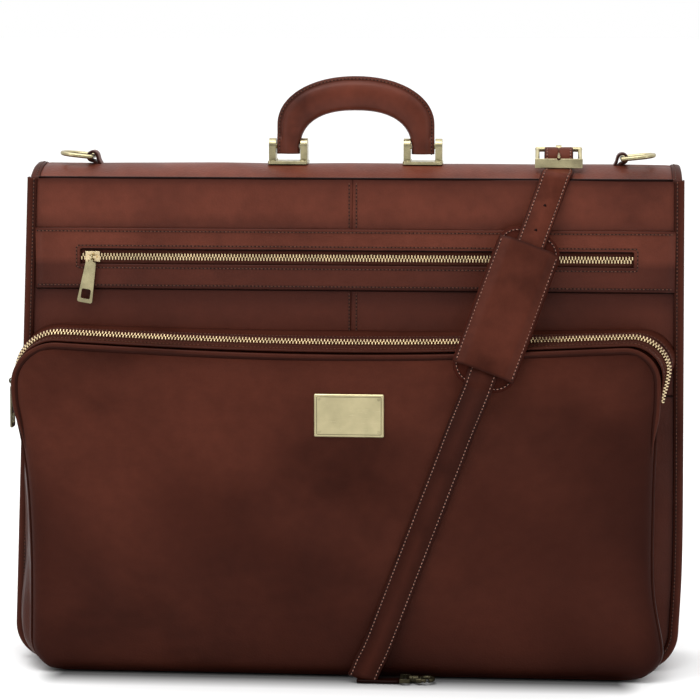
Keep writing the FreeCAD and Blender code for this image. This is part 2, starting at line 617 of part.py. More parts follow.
def main():
    os.makedirs("parts", exist_ok=True)
    skin, slot = front_skin()
    save("front_panel_left", left_of_seam(skin))
    save("front_panel_right", right_of_seam(skin))
    save("zip_band", zip_band(slot))
    save("front_board", board(slot))
    save("front_gusset", gusset())
    save("front_binding", binding())
    save("front_lining", lining())
    chain_y = FRONT_Y - 0.4
    save("upper_zip_tape", zip_tape(ZIP_LEFT - 4, ZIP_RIGHT + 4, FRONT_INSIDE + 0.1, ZIP_Z))
    save("upper_zip_chain", box(ZIP_LEFT + 1, ZIP_RIGHT - 1, chain_y, FRONT_INSIDE + 0.9,
                                ZIP_Z - CHAIN_HEIGHT / 2, ZIP_Z + CHAIN_HEIGHT / 2))
    save("upper_pocket_bag", box(-POCKET_BAG_HALF, POCKET_BAG_HALF, *POCKET_BAG_DEPTH,
                                 POCKET_BAG_LOW, POCKET_BAG_HIGH))
    slider = slider_shape()
    slider_y = chain_y - 0.3 + SLIDER_INSIDE
    slider.translate(V(ZIP_LEFT + SLIDER_START, slider_y, ZIP_Z))
    save("upper_slider", slider)
    pull = pull_shape(10)
    pull.translate(V(ZIP_LEFT + SLIDER_START, slider_y + BRIDGE_Y, ZIP_Z))
    save("upper_pull", pull)

    pocket = pocket_gusset()
    save("pocket_gusset", pocket)
    save("pocket_front", pocket_panel())
    save("pocket_piping", pocket_piping())
    middle_y = FRONT_Y - POCKET_DEPTH / 2
    tape = pocket_ribbon(middle_y + TAPE_HALF, middle_y - TAPE_HALF, 0.8)
    groove = box(-CLEAR, CLEAR, middle_y - GROOVE_HALF, middle_y + GROOVE_HALF, 0, CLEAR)
    save("pocket_zip_tape", tape.cut(groove))
    chain_half = CHAIN_HEIGHT / 2
    save("pocket_zip_chain", pocket_ribbon(middle_y + chain_half, middle_y - chain_half, 1.8))
    middle_half = (POCKET_BASE_HALF + POCKET_FRONT_HALF) / 2
    side_x = (POCKET_BASE_SHIFT + POCKET_FRONT_SHIFT) / 2 - middle_half - POCKET_SLIDER_LIFT
    slider = slider_shape(bridge_turned=True)
    slider.rotate(V(0, 0, 0), V(0, 1, 0), 90)
    slider.rotate(V(0, 0, 0), V(0, 0, 1), -90)
    slider.translate(V(side_x, middle_y, POCKET_SLIDER_Z))
    save("pocket_slider", slider)
    pull = pull_shape(0)
    pull.rotate(V(0, 0, 0), V(0, 0, 1), -90)
    pull.translate(V(side_x + BRIDGE_Y, middle_y, POCKET_SLIDER_Z))
    save("pocket_pull", pull)
    save("nameplate", nameplate())
    save("plate_rivets", plate_rivets())

    zip_y = -LINING_RECESS
    save("inner_zip_tape", box(-INNER_ZIP_HALF - 6, INNER_ZIP_HALF + 6, zip_y, zip_y + 0.6,
                               INNER_ZIP_Z - INNER_TAPE_HALF, INNER_ZIP_Z + INNER_TAPE_HALF))
    save("inner_zip_chain", box(-INNER_ZIP_HALF, INNER_ZIP_HALF, zip_y + 0.6, zip_y + 1.2,
                                INNER_ZIP_Z - INNER_CHAIN_HALF, INNER_ZIP_Z + INNER_CHAIN_HALF))
    stop = -INNER_ZIP_HALF + 8
    body = box(stop - 5, stop + 5, zip_y + 1.5, zip_y + 2.6, INNER_ZIP_Z - 3.6, INNER_ZIP_Z + 3.6)
    stud = rod((stop, zip_y + 2.6, INNER_ZIP_Z), (stop, zip_y + 4.4, INNER_ZIP_Z), 0.55)
    save("inner_slider", body.fuse(stud).removeSplitter())
    pull = flat_pull(INNER_PULL_LENGTH)
    pull.translate(V(stop, zip_y + 3.5, INNER_ZIP_Z))
    save("inner_pull", pull)

    save("strap_front", strap_front())
    save("pad_sleeve", pad_sleeve())
    save("pad_backing", pad_backing())
    for name, at, along in (("front", FRONT_HOOK_AT, (1, 0, 0)), ("tail", TAIL_HOOK_AT, (0.03, 0, -1))):
        across = (0, 1, 0) if name == "front" else (1, 0, 0)
        save(name + "_swivel", placed(swivel_base(), at, along, across))
        save(name + "_hook", placed(hook_body(), at, along, across))
        save(name + "_trigger", placed(hook_trigger(), at, along, across))

    half = TOP_HALF_WIDTH - 6
    save("spine_cover", spine_cover())
    save("spine_padding", spine_padding())
    save("spine_lining", box(-half, half, -34, 34, SEAM_HEIGHT - 3.5, SEAM_HEIGHT - LEATHER))
    save("handle_brackets", both_sides(bracket()))
    save("bracket_rivets", bracket_rivets())
    save("handle_pins", handle_pins())
    save("ring_tabs", both_sides(ring_tab()))
    save("strap_top", strap_over_top())
    save("buckle_frame", buckle_frame())
    save("buckle_loop", buckle_loop())
    save("buckle_prong", buckle_prong())
    core = grip_core()
    save("grip_cover", grip_cover(core))
    save("grip_core", core)
    save("grip_ferrules", grip_ferrules())
    save("left_ring", d_ring(-1))
    save("right_ring", d_ring(1))

    back = mirrored(plate(body_wire(FRONT_Y, foot=PANEL_FOOT), LEATHER))
    save("rear_panel_left", left_of_seam(back))
    save("rear_panel_right", right_of_seam(back))
    save("rear_board", mirrored(board()))
    save("rear_gusset", mirrored(gusset()))
    save("rear_binding", mirrored(binding()))
    save("rear_lining", mirrored(lining()))
    save("garment_straps", garment_straps())
    save("hanger_clamp", hanger_clamp())
    save("clamp_bar", clamp_bar())
    save("strap_tail", strap_tail())


main()
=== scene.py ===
"""Looks of a folded leather garment bag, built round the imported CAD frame."""
import json
import math

import bmesh
import bpy
from mathutils import Matrix, Vector, noise
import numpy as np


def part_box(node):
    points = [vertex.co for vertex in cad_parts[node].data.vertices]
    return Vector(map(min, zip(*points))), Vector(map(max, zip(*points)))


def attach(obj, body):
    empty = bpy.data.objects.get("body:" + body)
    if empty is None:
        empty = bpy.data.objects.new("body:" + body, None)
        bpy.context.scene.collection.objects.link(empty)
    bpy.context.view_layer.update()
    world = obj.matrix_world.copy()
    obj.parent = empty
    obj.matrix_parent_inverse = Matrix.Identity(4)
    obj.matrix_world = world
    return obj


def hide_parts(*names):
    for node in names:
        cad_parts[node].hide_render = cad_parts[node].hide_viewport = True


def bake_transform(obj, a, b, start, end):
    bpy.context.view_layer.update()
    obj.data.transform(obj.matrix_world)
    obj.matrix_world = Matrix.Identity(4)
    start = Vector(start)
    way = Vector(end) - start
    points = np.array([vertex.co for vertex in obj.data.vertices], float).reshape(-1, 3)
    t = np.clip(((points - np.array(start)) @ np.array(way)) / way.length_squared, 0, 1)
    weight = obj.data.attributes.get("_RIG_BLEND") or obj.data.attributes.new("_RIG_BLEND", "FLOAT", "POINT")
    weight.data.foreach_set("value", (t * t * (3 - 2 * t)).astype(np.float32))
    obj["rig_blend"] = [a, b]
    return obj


bl_info = {
    "name": "Leather garment bag",
    "version": (1, 0, 0),
    "blender": (4, 5, 0),
    "location": "View3D > Sidebar > Garment bag",
    "description": "Leather, stitching, zips and hardware of a folded garment bag",
    "category": "Object",
}

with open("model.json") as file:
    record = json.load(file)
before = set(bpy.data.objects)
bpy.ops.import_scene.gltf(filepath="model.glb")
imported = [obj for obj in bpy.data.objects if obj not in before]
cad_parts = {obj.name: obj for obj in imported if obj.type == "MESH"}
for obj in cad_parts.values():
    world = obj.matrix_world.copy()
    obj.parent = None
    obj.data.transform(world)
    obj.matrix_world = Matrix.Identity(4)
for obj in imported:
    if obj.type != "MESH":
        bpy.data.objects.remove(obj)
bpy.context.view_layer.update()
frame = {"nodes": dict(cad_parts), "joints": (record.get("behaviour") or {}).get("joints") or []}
MM = 0.001

# ---- places taken from the frame ----
FACE_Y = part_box("front_panel_left")[0].y
REAR_FACE_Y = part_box("rear_panel_left")[1].y
SPLIT_Y = (FACE_Y + REAR_FACE_Y) / 2
FOOT_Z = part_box("front_panel_left")[0].z
SEAM_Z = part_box("front_panel_left")[1].z
BASE_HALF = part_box("front_gusset")[1].x
SPINE_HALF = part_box("spine_cover")[1].x
TOP_HALF = SPINE_HALF + 5 * MM
CREST_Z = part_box("spine_cover")[1].z
WALL_TOP_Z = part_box("front_gusset")[1].z
BAND_LOW, BAND_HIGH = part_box("zip_band")[0].z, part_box("zip_band")[1].z
CHAIN_LOW, CHAIN_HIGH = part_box("upper_zip_chain")
ZIP_Z = (CHAIN_LOW.z + CHAIN_HIGH.z) / 2
POCKET_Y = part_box("pocket_front")[0].y
POCKET_DEPTH = FACE_Y - POCKET_Y
POCKET_BASE_HALF = (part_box("pocket_gusset")[1].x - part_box("pocket_gusset")[0].x) / 2
POCKET_FRONT_HALF = (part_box("pocket_piping")[1].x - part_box("pocket_piping")[0].x) / 2
POCKET_BASE_SHIFT = (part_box("pocket_gusset")[1].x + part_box("pocket_gusset")[0].x) / 2
POCKET_FRONT_SHIFT = (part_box("pocket_piping")[1].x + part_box("pocket_piping")[0].x) / 2
POCKET_BASE_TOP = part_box("pocket_gusset")[1].z
POCKET_FRONT_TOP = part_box("pocket_piping")[1].z
PLATE_LOW, PLATE_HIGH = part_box("nameplate")
GRIP_LOW, GRIP_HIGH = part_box("grip_cover")
SPINE_REACH = 35 * MM     # half depth of the crowned leather
CORNER_BASE = 32 * MM
POCKET_LOW = 1.4 * MM     # lower edge of the pocket's front panel
CORNER_TOP = 7 * MM
POCKET_RADIUS = 36 * MM
STRAP_LEAN = Vector((0.37, 0.0, 1.0)).normalized()
STRAP_WIDTH = 26 * MM
STRAP_THICK = 3.0 * MM
PLY_WIDTH = 12.7 * MM     # each half of the ply in the buckle
PLY_THICK = 2.6 * MM
SLOT_HALF = 6.5 * MM      # upper zip's slot, halved in height
SLOT_SEAM = 4.6 * MM      # stitches beyond the slot's ends
SLOT_SEAM_RISE = 10 * MM
SEAM_STITCHES = 3.2 * MM  # rows beside the centre seam
BINDING_STITCHES = 5.2 * MM
FLAP_Z = 253 * MM         # short seam right of the pocket
LEATHER_WALL = 2.0 * MM

FORWARD = Vector((0, -1, 0))
BACKWARD = Vector((0, 1, 0))
UPWARD = Vector((0, 0, 1))


def joint(name):
    return next(j for j in frame["joints"] if j["name"] == name)


# ---- sizes and colours a user may change ----
class BagSizes(bpy.types.PropertyGroup):
    stitch_pitch: bpy.props.FloatProperty(
        name="Stitch pitch", description="Distance from one stitch to the next",
        default=3.4 * MM, min=2 * MM, unit="LENGTH")
    stitch_length: bpy.props.FloatProperty(
        name="Stitch length", description="Thread that shows in one stitch",
        default=2.3 * MM, min=1 * MM, unit="LENGTH")
    thread_width: bpy.props.FloatProperty(
        name="Thread width", description="Thickness of the sewing thread",
        default=1.0 * MM, min=0.2 * MM, unit="LENGTH")
    tooth_pitch: bpy.props.FloatProperty(
        name="Zip tooth pitch", description="Distance between teeth of one side of a zip",
        default=2.8 * MM, min=1 * MM, unit="LENGTH")
    pocket_bulge: bpy.props.FloatProperty(
        name="Pocket bulge", description="How far the pocket's front panel swells",
        default=2.6 * MM, min=0.0, unit="LENGTH")
    pocket_sag: bpy.props.FloatProperty(
        name="Pocket sag", description="How far the pocket's top edge droops at its middle",
        default=9 * MM, min=0.0, unit="LENGTH")


class BagColours(bpy.types.PropertyGroup):
    body_light: bpy.props.FloatVectorProperty(
        name="Body leather, light", description="Lightest tone of the waxed leather",
        subtype="COLOR", default=(0.128, 0.0325, 0.0185), min=0, max=1)
    # The dark tone serves both the leather's real burnish and painted shade.
    body_dark: bpy.props.FloatVectorProperty(
        name="Body leather, dark", description="Tone of the leather where it is burnished",
        subtype="COLOR", default=(0.033, 0.0068, 0.0038), min=0, max=1)
    thread_dark: bpy.props.FloatVectorProperty(
        name="Body thread", description="Thread of the bag's seams",
        subtype="COLOR", default=(0.115, 0.045, 0.028), min=0, max=1)
    thread_light: bpy.props.FloatVectorProperty(
        name="Strap thread", description="Thread of the strap and its pad",
        subtype="COLOR", default=(0.31, 0.15, 0.11), min=0, max=1)
    brass: bpy.props.FloatVectorProperty(
        name="Antique brass", description="Buckle, brackets, rings and nameplate",
        subtype="COLOR", default=(0.44, 0.385, 0.225), min=0, max=1)
    zip_brass: bpy.props.FloatVectorProperty(
        name="Zip brass", description="Zip teeth and sliders",
        subtype="COLOR", default=(0.78, 0.62, 0.37), min=0, max=1)
    lining: bpy.props.FloatVectorProperty(
        name="Lining", description="Woven lining inside both halves",
        subtype="COLOR", default=(0.13, 0.070, 0.042), min=0, max=1)


# ---- materials ----
def new_material(name, roughness=0.5, metallic=0.0):
    material = bpy.data.materials.new(name)
    material.use_nodes = True
    shader = material.node_tree.nodes["Principled BSDF"]
    shader.inputs["Roughness"].default_value = roughness
    shader.inputs["Metallic"].default_value = metallic
    return material, material.node_tree, shader


def add_node(tree, kind, **inputs):
    node = tree.nodes.new(kind)
    for key, value in inputs.items():
        node.inputs[key.replace("_", " ")].default_value = value
    return node


def coordinates(tree, stretch=(1, 1, 1), turn=(0, 0, 0)):
    source = tree.nodes.new("ShaderNodeTexCoord")
    mapping = tree.nodes.new("ShaderNodeMapping")
    mapping.inputs["Scale"].default_value = stretch
    mapping.inputs["Rotation"].default_value = turn
    tree.links.new(source.outputs["Object"], mapping.inputs["Vector"])
    return mapping.outputs["Vector"]


def noise_of(tree, where, scale, detail=3.0, rough=0.55):
    node = add_node(tree, "ShaderNodeTexNoise", Scale=scale, Detail=detail, Roughness=rough)
    tree.links.new(where, node.inputs["Vector"])
    return node.outputs["Fac"]


def ramp_of(tree, value, stops):
    node = tree.nodes.new("ShaderNodeValToRGB")
    while len(node.color_ramp.elements) < len(stops):
        node.color_ramp.elements.new(0.5)
    for element, (place, colour) in zip(node.color_ramp.elements, stops):
        element.position = place
        element.color = (*colour, 1) if len(colour) == 3 else colour
    tree.links.new(value, node.inputs["Fac"])
    return node.outputs["Color"]


def mixed(tree, share, first, second, blend="MIX"):
    node = tree.nodes.new("ShaderNodeMix")
    node.data_type = "RGBA"
    node.blend_type = blend
    sockets = (node.inputs["Factor"], node.inputs[6], node.inputs[7])
    for socket, value in zip(sockets, (share, first, second)):
        if isinstance(value, bpy.types.NodeSocket):
            tree.links.new(value, socket)
        elif isinstance(value, (int, float)):
            socket.default_value = value
        else:
            socket.default_value = (*value, 1)
    return node.outputs[2]


def math_of(tree, operation, first, second):
    node = tree.nodes.new("ShaderNodeMath")
    node.operation = operation
    for socket, value in zip(node.inputs, (first, second)):
        if isinstance(value, bpy.types.NodeSocket):
            tree.links.new(value, socket)
        else:
            socket.default_value = value
    return node.outputs[0]


def bumped(tree, shader, height, strength, distance):
    node = add_node(tree, "ShaderNodeBump", Strength=strength, Distance=distance)
    tree.links.new(height, node.inputs["Height"])
    tree.links.new(node.outputs["Normal"], shader.inputs["Normal"])
    return node


def attribute_of(tree, name):
    node = tree.nodes.new("ShaderNodeAttribute")
    node.attribute_name = name
    return node.outputs["Fac"]


def scaled(colour, factor):
    return tuple(min(1.0, c * factor) for c in colour)


def leather(name, light, dark, grain=0.26, rough=(0.36, 0.52), mottle=7.0, streak=(1, 1, 1), shine=0.05):
    """Waxed leather: cloudy tone, darker where the 'shade' attribute is high (real burnish in some places,
    painted shade in others), and a pebble grain.
    """
    material, tree, shader = new_material(name)
    where = coordinates(tree, streak)
    cloud = noise_of(tree, where, mottle, 4.0, 0.6)
    middle = tuple((a + b) / 2 for a, b in zip(light, dark))
    tone = ramp_of(tree, cloud, [(0.30, scaled(middle, 0.74)), (0.50, scaled(light, 0.90)),
                                 (0.70, scaled(light, 1.10))])
    fine = noise_of(tree, where, 90.0, 3.0)
    specks = ramp_of(tree, fine, [(0.3, (0.55, 0.52, 0.5)), (0.7, (1, 1, 1))])
    tone = mixed(tree, 0.35, tone, specks, "MULTIPLY")
    # Mix towards the dark tone by 'shade': real burnish on worn edges, painted shade where less light falls.
    burnish_and_shade = math_of(tree, "MULTIPLY", attribute_of(tree, "shade"),
                      math_of(tree, "ADD", math_of(tree, "MULTIPLY", cloud, 0.6), 0.62))
    tone = mixed(tree, burnish_and_shade, tone, dark)
    tree.links.new(tone, shader.inputs["Base Color"])
    cells = add_node(tree, "ShaderNodeTexVoronoi", Scale=520.0)
    cells.feature = "SMOOTH_F1"
    cells.inputs["Smoothness"].default_value = 0.6
    bend = noise_of(tree, where, 300.0, 2.0)
    warp = tree.nodes.new("ShaderNodeVectorMath")
    warp.operation = "MULTIPLY_ADD"
    tree.links.new(bend, warp.inputs[0])
    warp.inputs[1].default_value = (0.0012, 0.0012, 0.0012)
    tree.links.new(where, warp.inputs[2])
    tree.links.new(warp.outputs[0], cells.inputs["Vector"])
    relief = math_of(tree, "ADD", cells.outputs["Distance"], math_of(tree, "MULTIPLY", bend, 0.5))
    relief = math_of(tree, "ADD", relief, math_of(tree, "MULTIPLY", noise_of(tree, where, 40.0, 3.0), 1.1))
    bumped(tree, shader, relief, grain, 0.6 * MM)
    low, high = rough
    gloss = ramp_of(tree, noise_of(tree, where, 24.0, 4.0), [(0.3, (low,) * 3), (0.7, (high,) * 3)])
    tree.links.new(gloss, shader.inputs["Roughness"])
    shader.inputs["Specular IOR Level"].default_value = shine
    return material


def thread(name, colour):
    """Twisted waxed thread."""
    material, tree, shader = new_material(name, 0.55)
    where = coordinates(tree)
    twist = noise_of(tree, where, 900.0, 1.0)
    tone = ramp_of(tree, twist, [(0.35, scaled(colour, 0.6)), (0.65, scaled(colour, 1.15))])
    # Where 'shade' is 1, at the stitch holes, the colour goes nearly black: painted shade.
    tree.links.new(mixed(tree, attribute_of(tree, "shade"), tone, (0.004, 0.002, 0.0015)),
                   shader.inputs["Base Color"])
    shader.inputs["Specular IOR Level"].default_value = 0.2
    bumped(tree, shader, twist, 0.4, 0.2 * MM)
    return material


def metal(name, colour, rough=0.30, brush=(8, 1, 60), wear=0.35):
    """Plated metal with brush marks, darker in random patches and rounded at its edges."""
    material, tree, shader = new_material(name, rough, 1.0)
    where = coordinates(tree, brush)
    lines = noise_of(tree, where, 30.0, 4.0, 0.7)
    patches = noise_of(tree, coordinates(tree), 55.0, 3.0)
    tone = ramp_of(tree, patches, [(0.32, scaled(colour, 1.0 - wear)), (0.62, scaled(colour, 1.06))])
    tree.links.new(tone, shader.inputs["Base Color"])
    gloss = ramp_of(tree, lines, [(0.3, (rough * 0.75,) * 3), (0.7, (min(1, rough * 1.45),) * 3)])
    tree.links.new(gloss, shader.inputs["Roughness"])
    edges = add_node(tree, "ShaderNodeBevel", Radius=0.5 * MM)
    edges.samples = 4
    bump = bumped(tree, shader, lines, 0.05, 0.2 * MM)
    tree.links.new(edges.outputs["Normal"], bump.inputs["Normal"])
    return material


def woven(name, colour, pitch=0.6 * MM, contrast=0.45, rough=0.85, sheen=0.25):
    """Plain cloth: two sets of crossing yarns."""
    material, tree, shader = new_material(name, rough)
    where = coordinates(tree)
    bands = []
    for axis in ("X", "Z"):
        wave = add_node(tree, "ShaderNodeTexWave", Scale=0.314 / pitch / 2, Distortion=1.2)
        wave.wave_type = "BANDS"
        wave.bands_direction = axis
        wave.inputs["Detail Scale"].default_value = 2.0
        tree.links.new(where, wave.inputs["Vector"])
        bands.append(wave.outputs["Fac"])
    weave = math_of(tree, "MULTIPLY", bands[0], bands[1])
    cloud = noise_of(tree, where, 14.0, 4.0)
    tone = mixed(tree, math_of(tree, "MULTIPLY", weave, contrast), colour, scaled(colour, 1.9))
    tone = mixed(tree, 0.5, tone, ramp_of(tree, cloud, [(0.3, (0.65,) * 3), (0.7, (1, 1, 1))]), "MULTIPLY")
    tree.links.new(tone, shader.inputs["Base Color"])
    bumped(tree, shader, weave, 0.35, 0.3 * MM)
    shader.inputs["Sheen Weight"].default_value = sheen
    shader.inputs["Specular IOR Level"].default_value = 0.15
    return material


def make_materials(colours):
    light, dark = tuple(colours.body_light), tuple(colours.body_dark)
    return {
        "body": leather("waxed_body_leather", light, dark, shine=0.11),
        # The pocket's copy of the body leather is darker: partly its own tone, partly painted shade for its
        # lower, less lit place.
        "pocket": leather("pull_up_pocket_leather", scaled(light, 0.62), scaled(dark, 0.62), mottle=5.5,
                          streak=(1, 1, 1.3)),
        # A darker copy of the body leather for the gussets and spine padding: painted shade for sides that face
        # away from the light.
        "gusset": leather("gusset_leather", scaled(light, 0.48), scaled(dark, 0.6)),
        "binding": leather("binding_leather", scaled(light, 0.56), scaled(dark, 0.55), grain=0.1),
        "pad": leather("pad_leather", scaled(light, 0.60), scaled(dark, 0.6), grain=0.1, mottle=14.0),
        "handle": leather("burnished_handle_leather", scaled(light, 0.86), scaled(dark, 0.62), grain=0.07,
                          rough=(0.32, 0.44), mottle=16.0, shine=0.11),
        "strap": leather("strap_leather", scaled(light, 0.86), scaled(dark, 0.5), grain=0.09,
                         rough=(0.38, 0.5), mottle=20.0),
        # Near-black leather: real edge paint, and painted shadow on the seam beads, on the strap's turned end
        # and inside the strap's holes.
        "edge_and_shadow_paint": leather("edge_and_shadow_paint", scaled(dark, 0.35), scaled(dark, 0.22), grain=0.04),
        "suede": leather("suede_backing", scaled(dark, 1.5), scaled(dark, 0.8), grain=0.3, rough=(0.7, 0.9)),
        "thread_dark": thread("body_thread", tuple(colours.thread_dark)),
        "thread_light": thread("strap_thread", tuple(colours.thread_light)),
        "brass": metal("antique_brass", tuple(colours.brass)),
        "plate": metal("brushed_plate_brass", scaled(colours.brass, 1.12), 0.34, brush=(2, 1, 90), wear=0.12),
        "zip": metal("zip_brass", tuple(colours.zip_brass), 0.24, wear=0.25),
        "bronze": metal("dark_bronze", scaled(colours.brass, 0.30), 0.34),
        # Very dark bronze for the front hook, swivel and trigger: painted shadow, as they lie under the
        # pocket's edge.
        "shadow_bronze": metal("bronze_in_painted_shadow", scaled(colours.brass, 0.14), 0.42),
        "steel": metal("brushed_steel", (0.42, 0.41, 0.39), 0.32),
        "tape": woven("zip_tape", scaled(light, 0.42), 0.45 * MM, 0.3, sheen=0.0),
        "lining": woven("woven_lining", tuple(colours.lining), 0.8 * MM),
        "webbing": woven("garment_webbing", (0.045, 0.026, 0.018), 1.3 * MM, 0.8),
    }


MATERIALS = {}


# ---- mesh helpers ----
def finish_piece(bm, name, body, material, replaces=(), wall=0.0, smooth=True):
    """Turn a bmesh into an object of the bag, riding on a body."""
    mesh = bpy.data.meshes.new(name)
    bm.to_mesh(mesh)
    bm.free()
    piece = bpy.data.objects.new(name, mesh)
    bpy.context.scene.collection.objects.link(piece)
    mesh.materials.append(MATERIALS[material])
    for polygon in mesh.polygons:
        polygon.use_smooth = smooth
    if wall:
        shell = piece.modifiers.new("wall", "SOLIDIFY")
        shell.thickness = wall
        shell.offset = -1
    if body:
        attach(piece, body)
    if replaces:
        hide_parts(*replaces)
    return piece


def sheet_mesh(columns, rows, place, shade=None):
    """A grid whose columns and rows are put where place(column, row) says."""
    bm = bmesh.new()
    across, along = len(columns) - 1, len(rows) - 1
    bmesh.ops.create_grid(bm, x_segments=across, y_segments=along, size=1)
    layer = bm.verts.layers.float.new("shade")
    for vert in bm.verts:
        column = columns[round((vert.co.x + 1) / 2 * across)]
        row = rows[round((vert.co.y + 1) / 2 * along)]
        vert.co = place(column, row)
        vert[layer] = shade(column, row) if shade else 0.0
    return bm


def sweep_mesh(profiles, frames, closed_path=False, caps=True, shades=None):
    """A closed profile carried along frames by extruding its edges again and again."""
    bm = bmesh.new()
    order = bm.verts.layers.int.new("order")
    layer = bm.verts.layers.float.new("shade")
    count = len(profiles[0])
    ring = [bm.verts.new(frames[0] @ Vector((a, b, 0))) for a, b in profiles[0]]
    for number, vert in enumerate(ring):
        vert[order] = number
        vert[layer] = shades[number] if shades else 0.0
    edges = [bm.edges.new((ring[k], ring[(k + 1) % count])) for k in range(count)]
    first = list(edges)
    for profile, place in zip(profiles[1:], frames[1:]):
        made = bmesh.ops.extrude_edge_only(bm, edges=edges)["geom"]
        fresh = [g for g in made if isinstance(g, bmesh.types.BMVert)]
        for vert in fresh:
            a, b = profile[vert[order]]
            vert.co = place @ Vector((a, b, 0))
        held = set(fresh)
        edges = [e for v in fresh for e in v.link_edges if e.verts[0] in held and e.verts[1] in held]
        edges = list(dict.fromkeys(edges))
    if closed_path:
        bmesh.ops.bridge_loops(bm, edges=first + edges)
    elif caps:
        bmesh.ops.contextual_create(bm, geom=first)
        bmesh.ops.contextual_create(bm, geom=edges)
    bmesh.ops.recalc_face_normals(bm, faces=bm.faces[:])
    return bm


def smooth_line(points, step):
    """A Catmull-Rom line through the points, sampled at an even step."""
    ends = [points[0] * 2 - points[1]] + list(points) + [points[-1] * 2 - points[-2]]
    fine = []
    for a, b, c, d in zip(ends, ends[1:], ends[2:], ends[3:]):
        for k in range(16):
            t = k / 16
            fine.append(0.5 * ((2 * b) + (c - a) * t + (2 * a - 5 * b + 4 * c - d) * t * t
                               + (3 * b - a - 3 * c + d) * t ** 3))
    fine.append(Vector(points[-1]))
    return even_line(fine, step)


def even_line(points, step):
    """The same line with its points an even step apart."""
    total = sum((b - a).length for a, b in zip(points, points[1:]))
    count = max(2, round(total / step))
    gap = total / count
    out, walked, target = [points[0].copy()], 0.0, gap
    for a, b in zip(points, points[1:]):
        length = (b - a).length
        while length > 0 and target <= walked + length + 1e-9 and len(out) <= count:
            out.append(a.lerp(b, (target - walked) / length))
            target += gap
        walked += length
    if len(out) <= count:
        out.append(points[-1].copy())
    return out


def tangents(points, closed=False):
    last = len(points) - 1
    found = []
    for k in range(len(points)):
        a = points[k - 1] if (k or closed) else points[0]
        b = points[(k + 1) % len(points)] if (k < last or closed) else points[last]
        found.append((b - a).normalized())
    return found


def frame_at(place, side, normal):
    """A matrix whose X is side and whose Y is normal."""
    side = side.normalized()
    normal = (normal - normal.dot(side) * side).normalized()
    third = side.cross(normal)
    return Matrix(((side.x, normal.x, third.x, place.x), (side.y, normal.y, third.y, place.y),
                   (side.z, normal.z, third.z, place.z), (0, 0, 0, 1)))


def ribbon_frames(points, across):
    """Frames for a flat strap: across gives the width's direction at each point."""
    frames = []
    for place, heading, side in zip(points, tangents(points), across):
        side = (side - side.dot(heading) * heading).normalized()
        frames.append(frame_at(place, side, side.cross(heading)))
    return frames


def rounded_outline(corners, radii, step, closed=True):
    """Points and outward normals round a shape with rounded corners, in (x, z)."""
    count = len(corners)
    line = []
    for k, corner in enumerate(corners):
        here = Vector(corner)
        if not closed and k in (0, count - 1):
            line.append(here)
            continue
        before = (Vector(corners[k - 1]) - here).normalized()
        after = (Vector(corners[(k + 1) % count]) - here).normalized()
        half = before.angle(after) / 2
        reach = radii[k] / math.tan(half)
        middle = (before + after).normalized()
        centre = here + middle * (radii[k] / math.sin(half))
        start = here + before * reach - centre
        stop = here + after * reach - centre
        turn = start.angle_signed(stop)
        pieces = max(3, round(abs(turn) * radii[k] / step))
        for n in range(pieces + 1):
            spin = Matrix.Rotation(-turn * n / pieces, 2)
            line.append(centre + spin @ start)
    if closed:
        line.append(line[0].copy())
    line = even_line(line, step)
    if closed:
        line.pop()
    heads = tangents(line, closed)
    return [(p, Vector((h.y, -h.x))) for p, h in zip(line, heads)]


def body_outline(inset=0.0, foot=0.0, top=None, step=4 * MM, closed=True, reach=None):
    """One half's outline seen from the front, anticlockwise from its lower left corner."""
    top = top or SEAM_Z
    low, high = foot + inset, top - inset
    base, head = BASE_HALF - inset, TOP_HALF - inset
    if closed:
        corners = [(-base, low), (base, low), (head, high), (-head, high)]
        radii = [CORNER_BASE - inset] * 2 + [max(3 * MM, CORNER_TOP - inset)] * 2
    else:
        corners = [(reach, low), (base, low), (head, high)]
        radii = [0, CORNER_BASE - inset, 0]
    return rounded_outline(corners, radii, step, closed)


def stitch_row(bm, points, normals, sizes, pitch=None, lift=0.1 * MM):
    """Stitches of thread laid end to end along a line, on a surface with these normals."""
    layer = bm.verts.layers.float.get("shade") or bm.verts.layers.float.new("shade")
    pitch = pitch or sizes.stitch_pitch
    length = sizes.stitch_length * pitch / sizes.stitch_pitch
    line = even_line(points, pitch)
    steps = len(line) - 1
    for k in range(steps):
        a, b = line[k], line[k + 1]
        heading = (b - a).normalized()
        share = (k + 0.5) / steps * (len(normals) - 1)
        normal = normals[int(share)].lerp(normals[min(int(share) + 1, len(normals) - 1)], share % 1)
        place = (a + b) / 2 + normal.normalized() * lift
        size = Matrix.Diagonal((length / 2, sizes.thread_width / 2, sizes.thread_width * 0.4, 1))
        spin = frame_at(place, heading, normal.cross(heading))
        bmesh.ops.create_icosphere(bm, subdivisions=1, radius=1, matrix=spin @ size)
        spin.translation = a + normal.normalized() * lift * 0.5
        # A near-black dot at each stitch hole: painted shade inside the hole.
        hole = sizes.thread_width * 0.7
        dot = Matrix.Diagonal((hole, hole, sizes.thread_width * 0.2, 1))
        for vert in bmesh.ops.create_icosphere(bm, subdivisions=1, radius=1, matrix=spin @ dot)["verts"]:
            vert[layer] = 1.0


def join_into(whole, part):
    """Add a finished bmesh to another, and free it."""
    mesh = bpy.data.meshes.new("part")
    part.to_mesh(mesh)
    part.free()
    whole.from_mesh(mesh)
    bpy.data.meshes.remove(mesh)


def stamp(bm, mesh, matrix):
    """Add a copy of a small mesh at a place."""
    copy = mesh.copy()
    copy.transform(matrix)
    bm.from_mesh(copy)
    bpy.data.meshes.remove(copy)


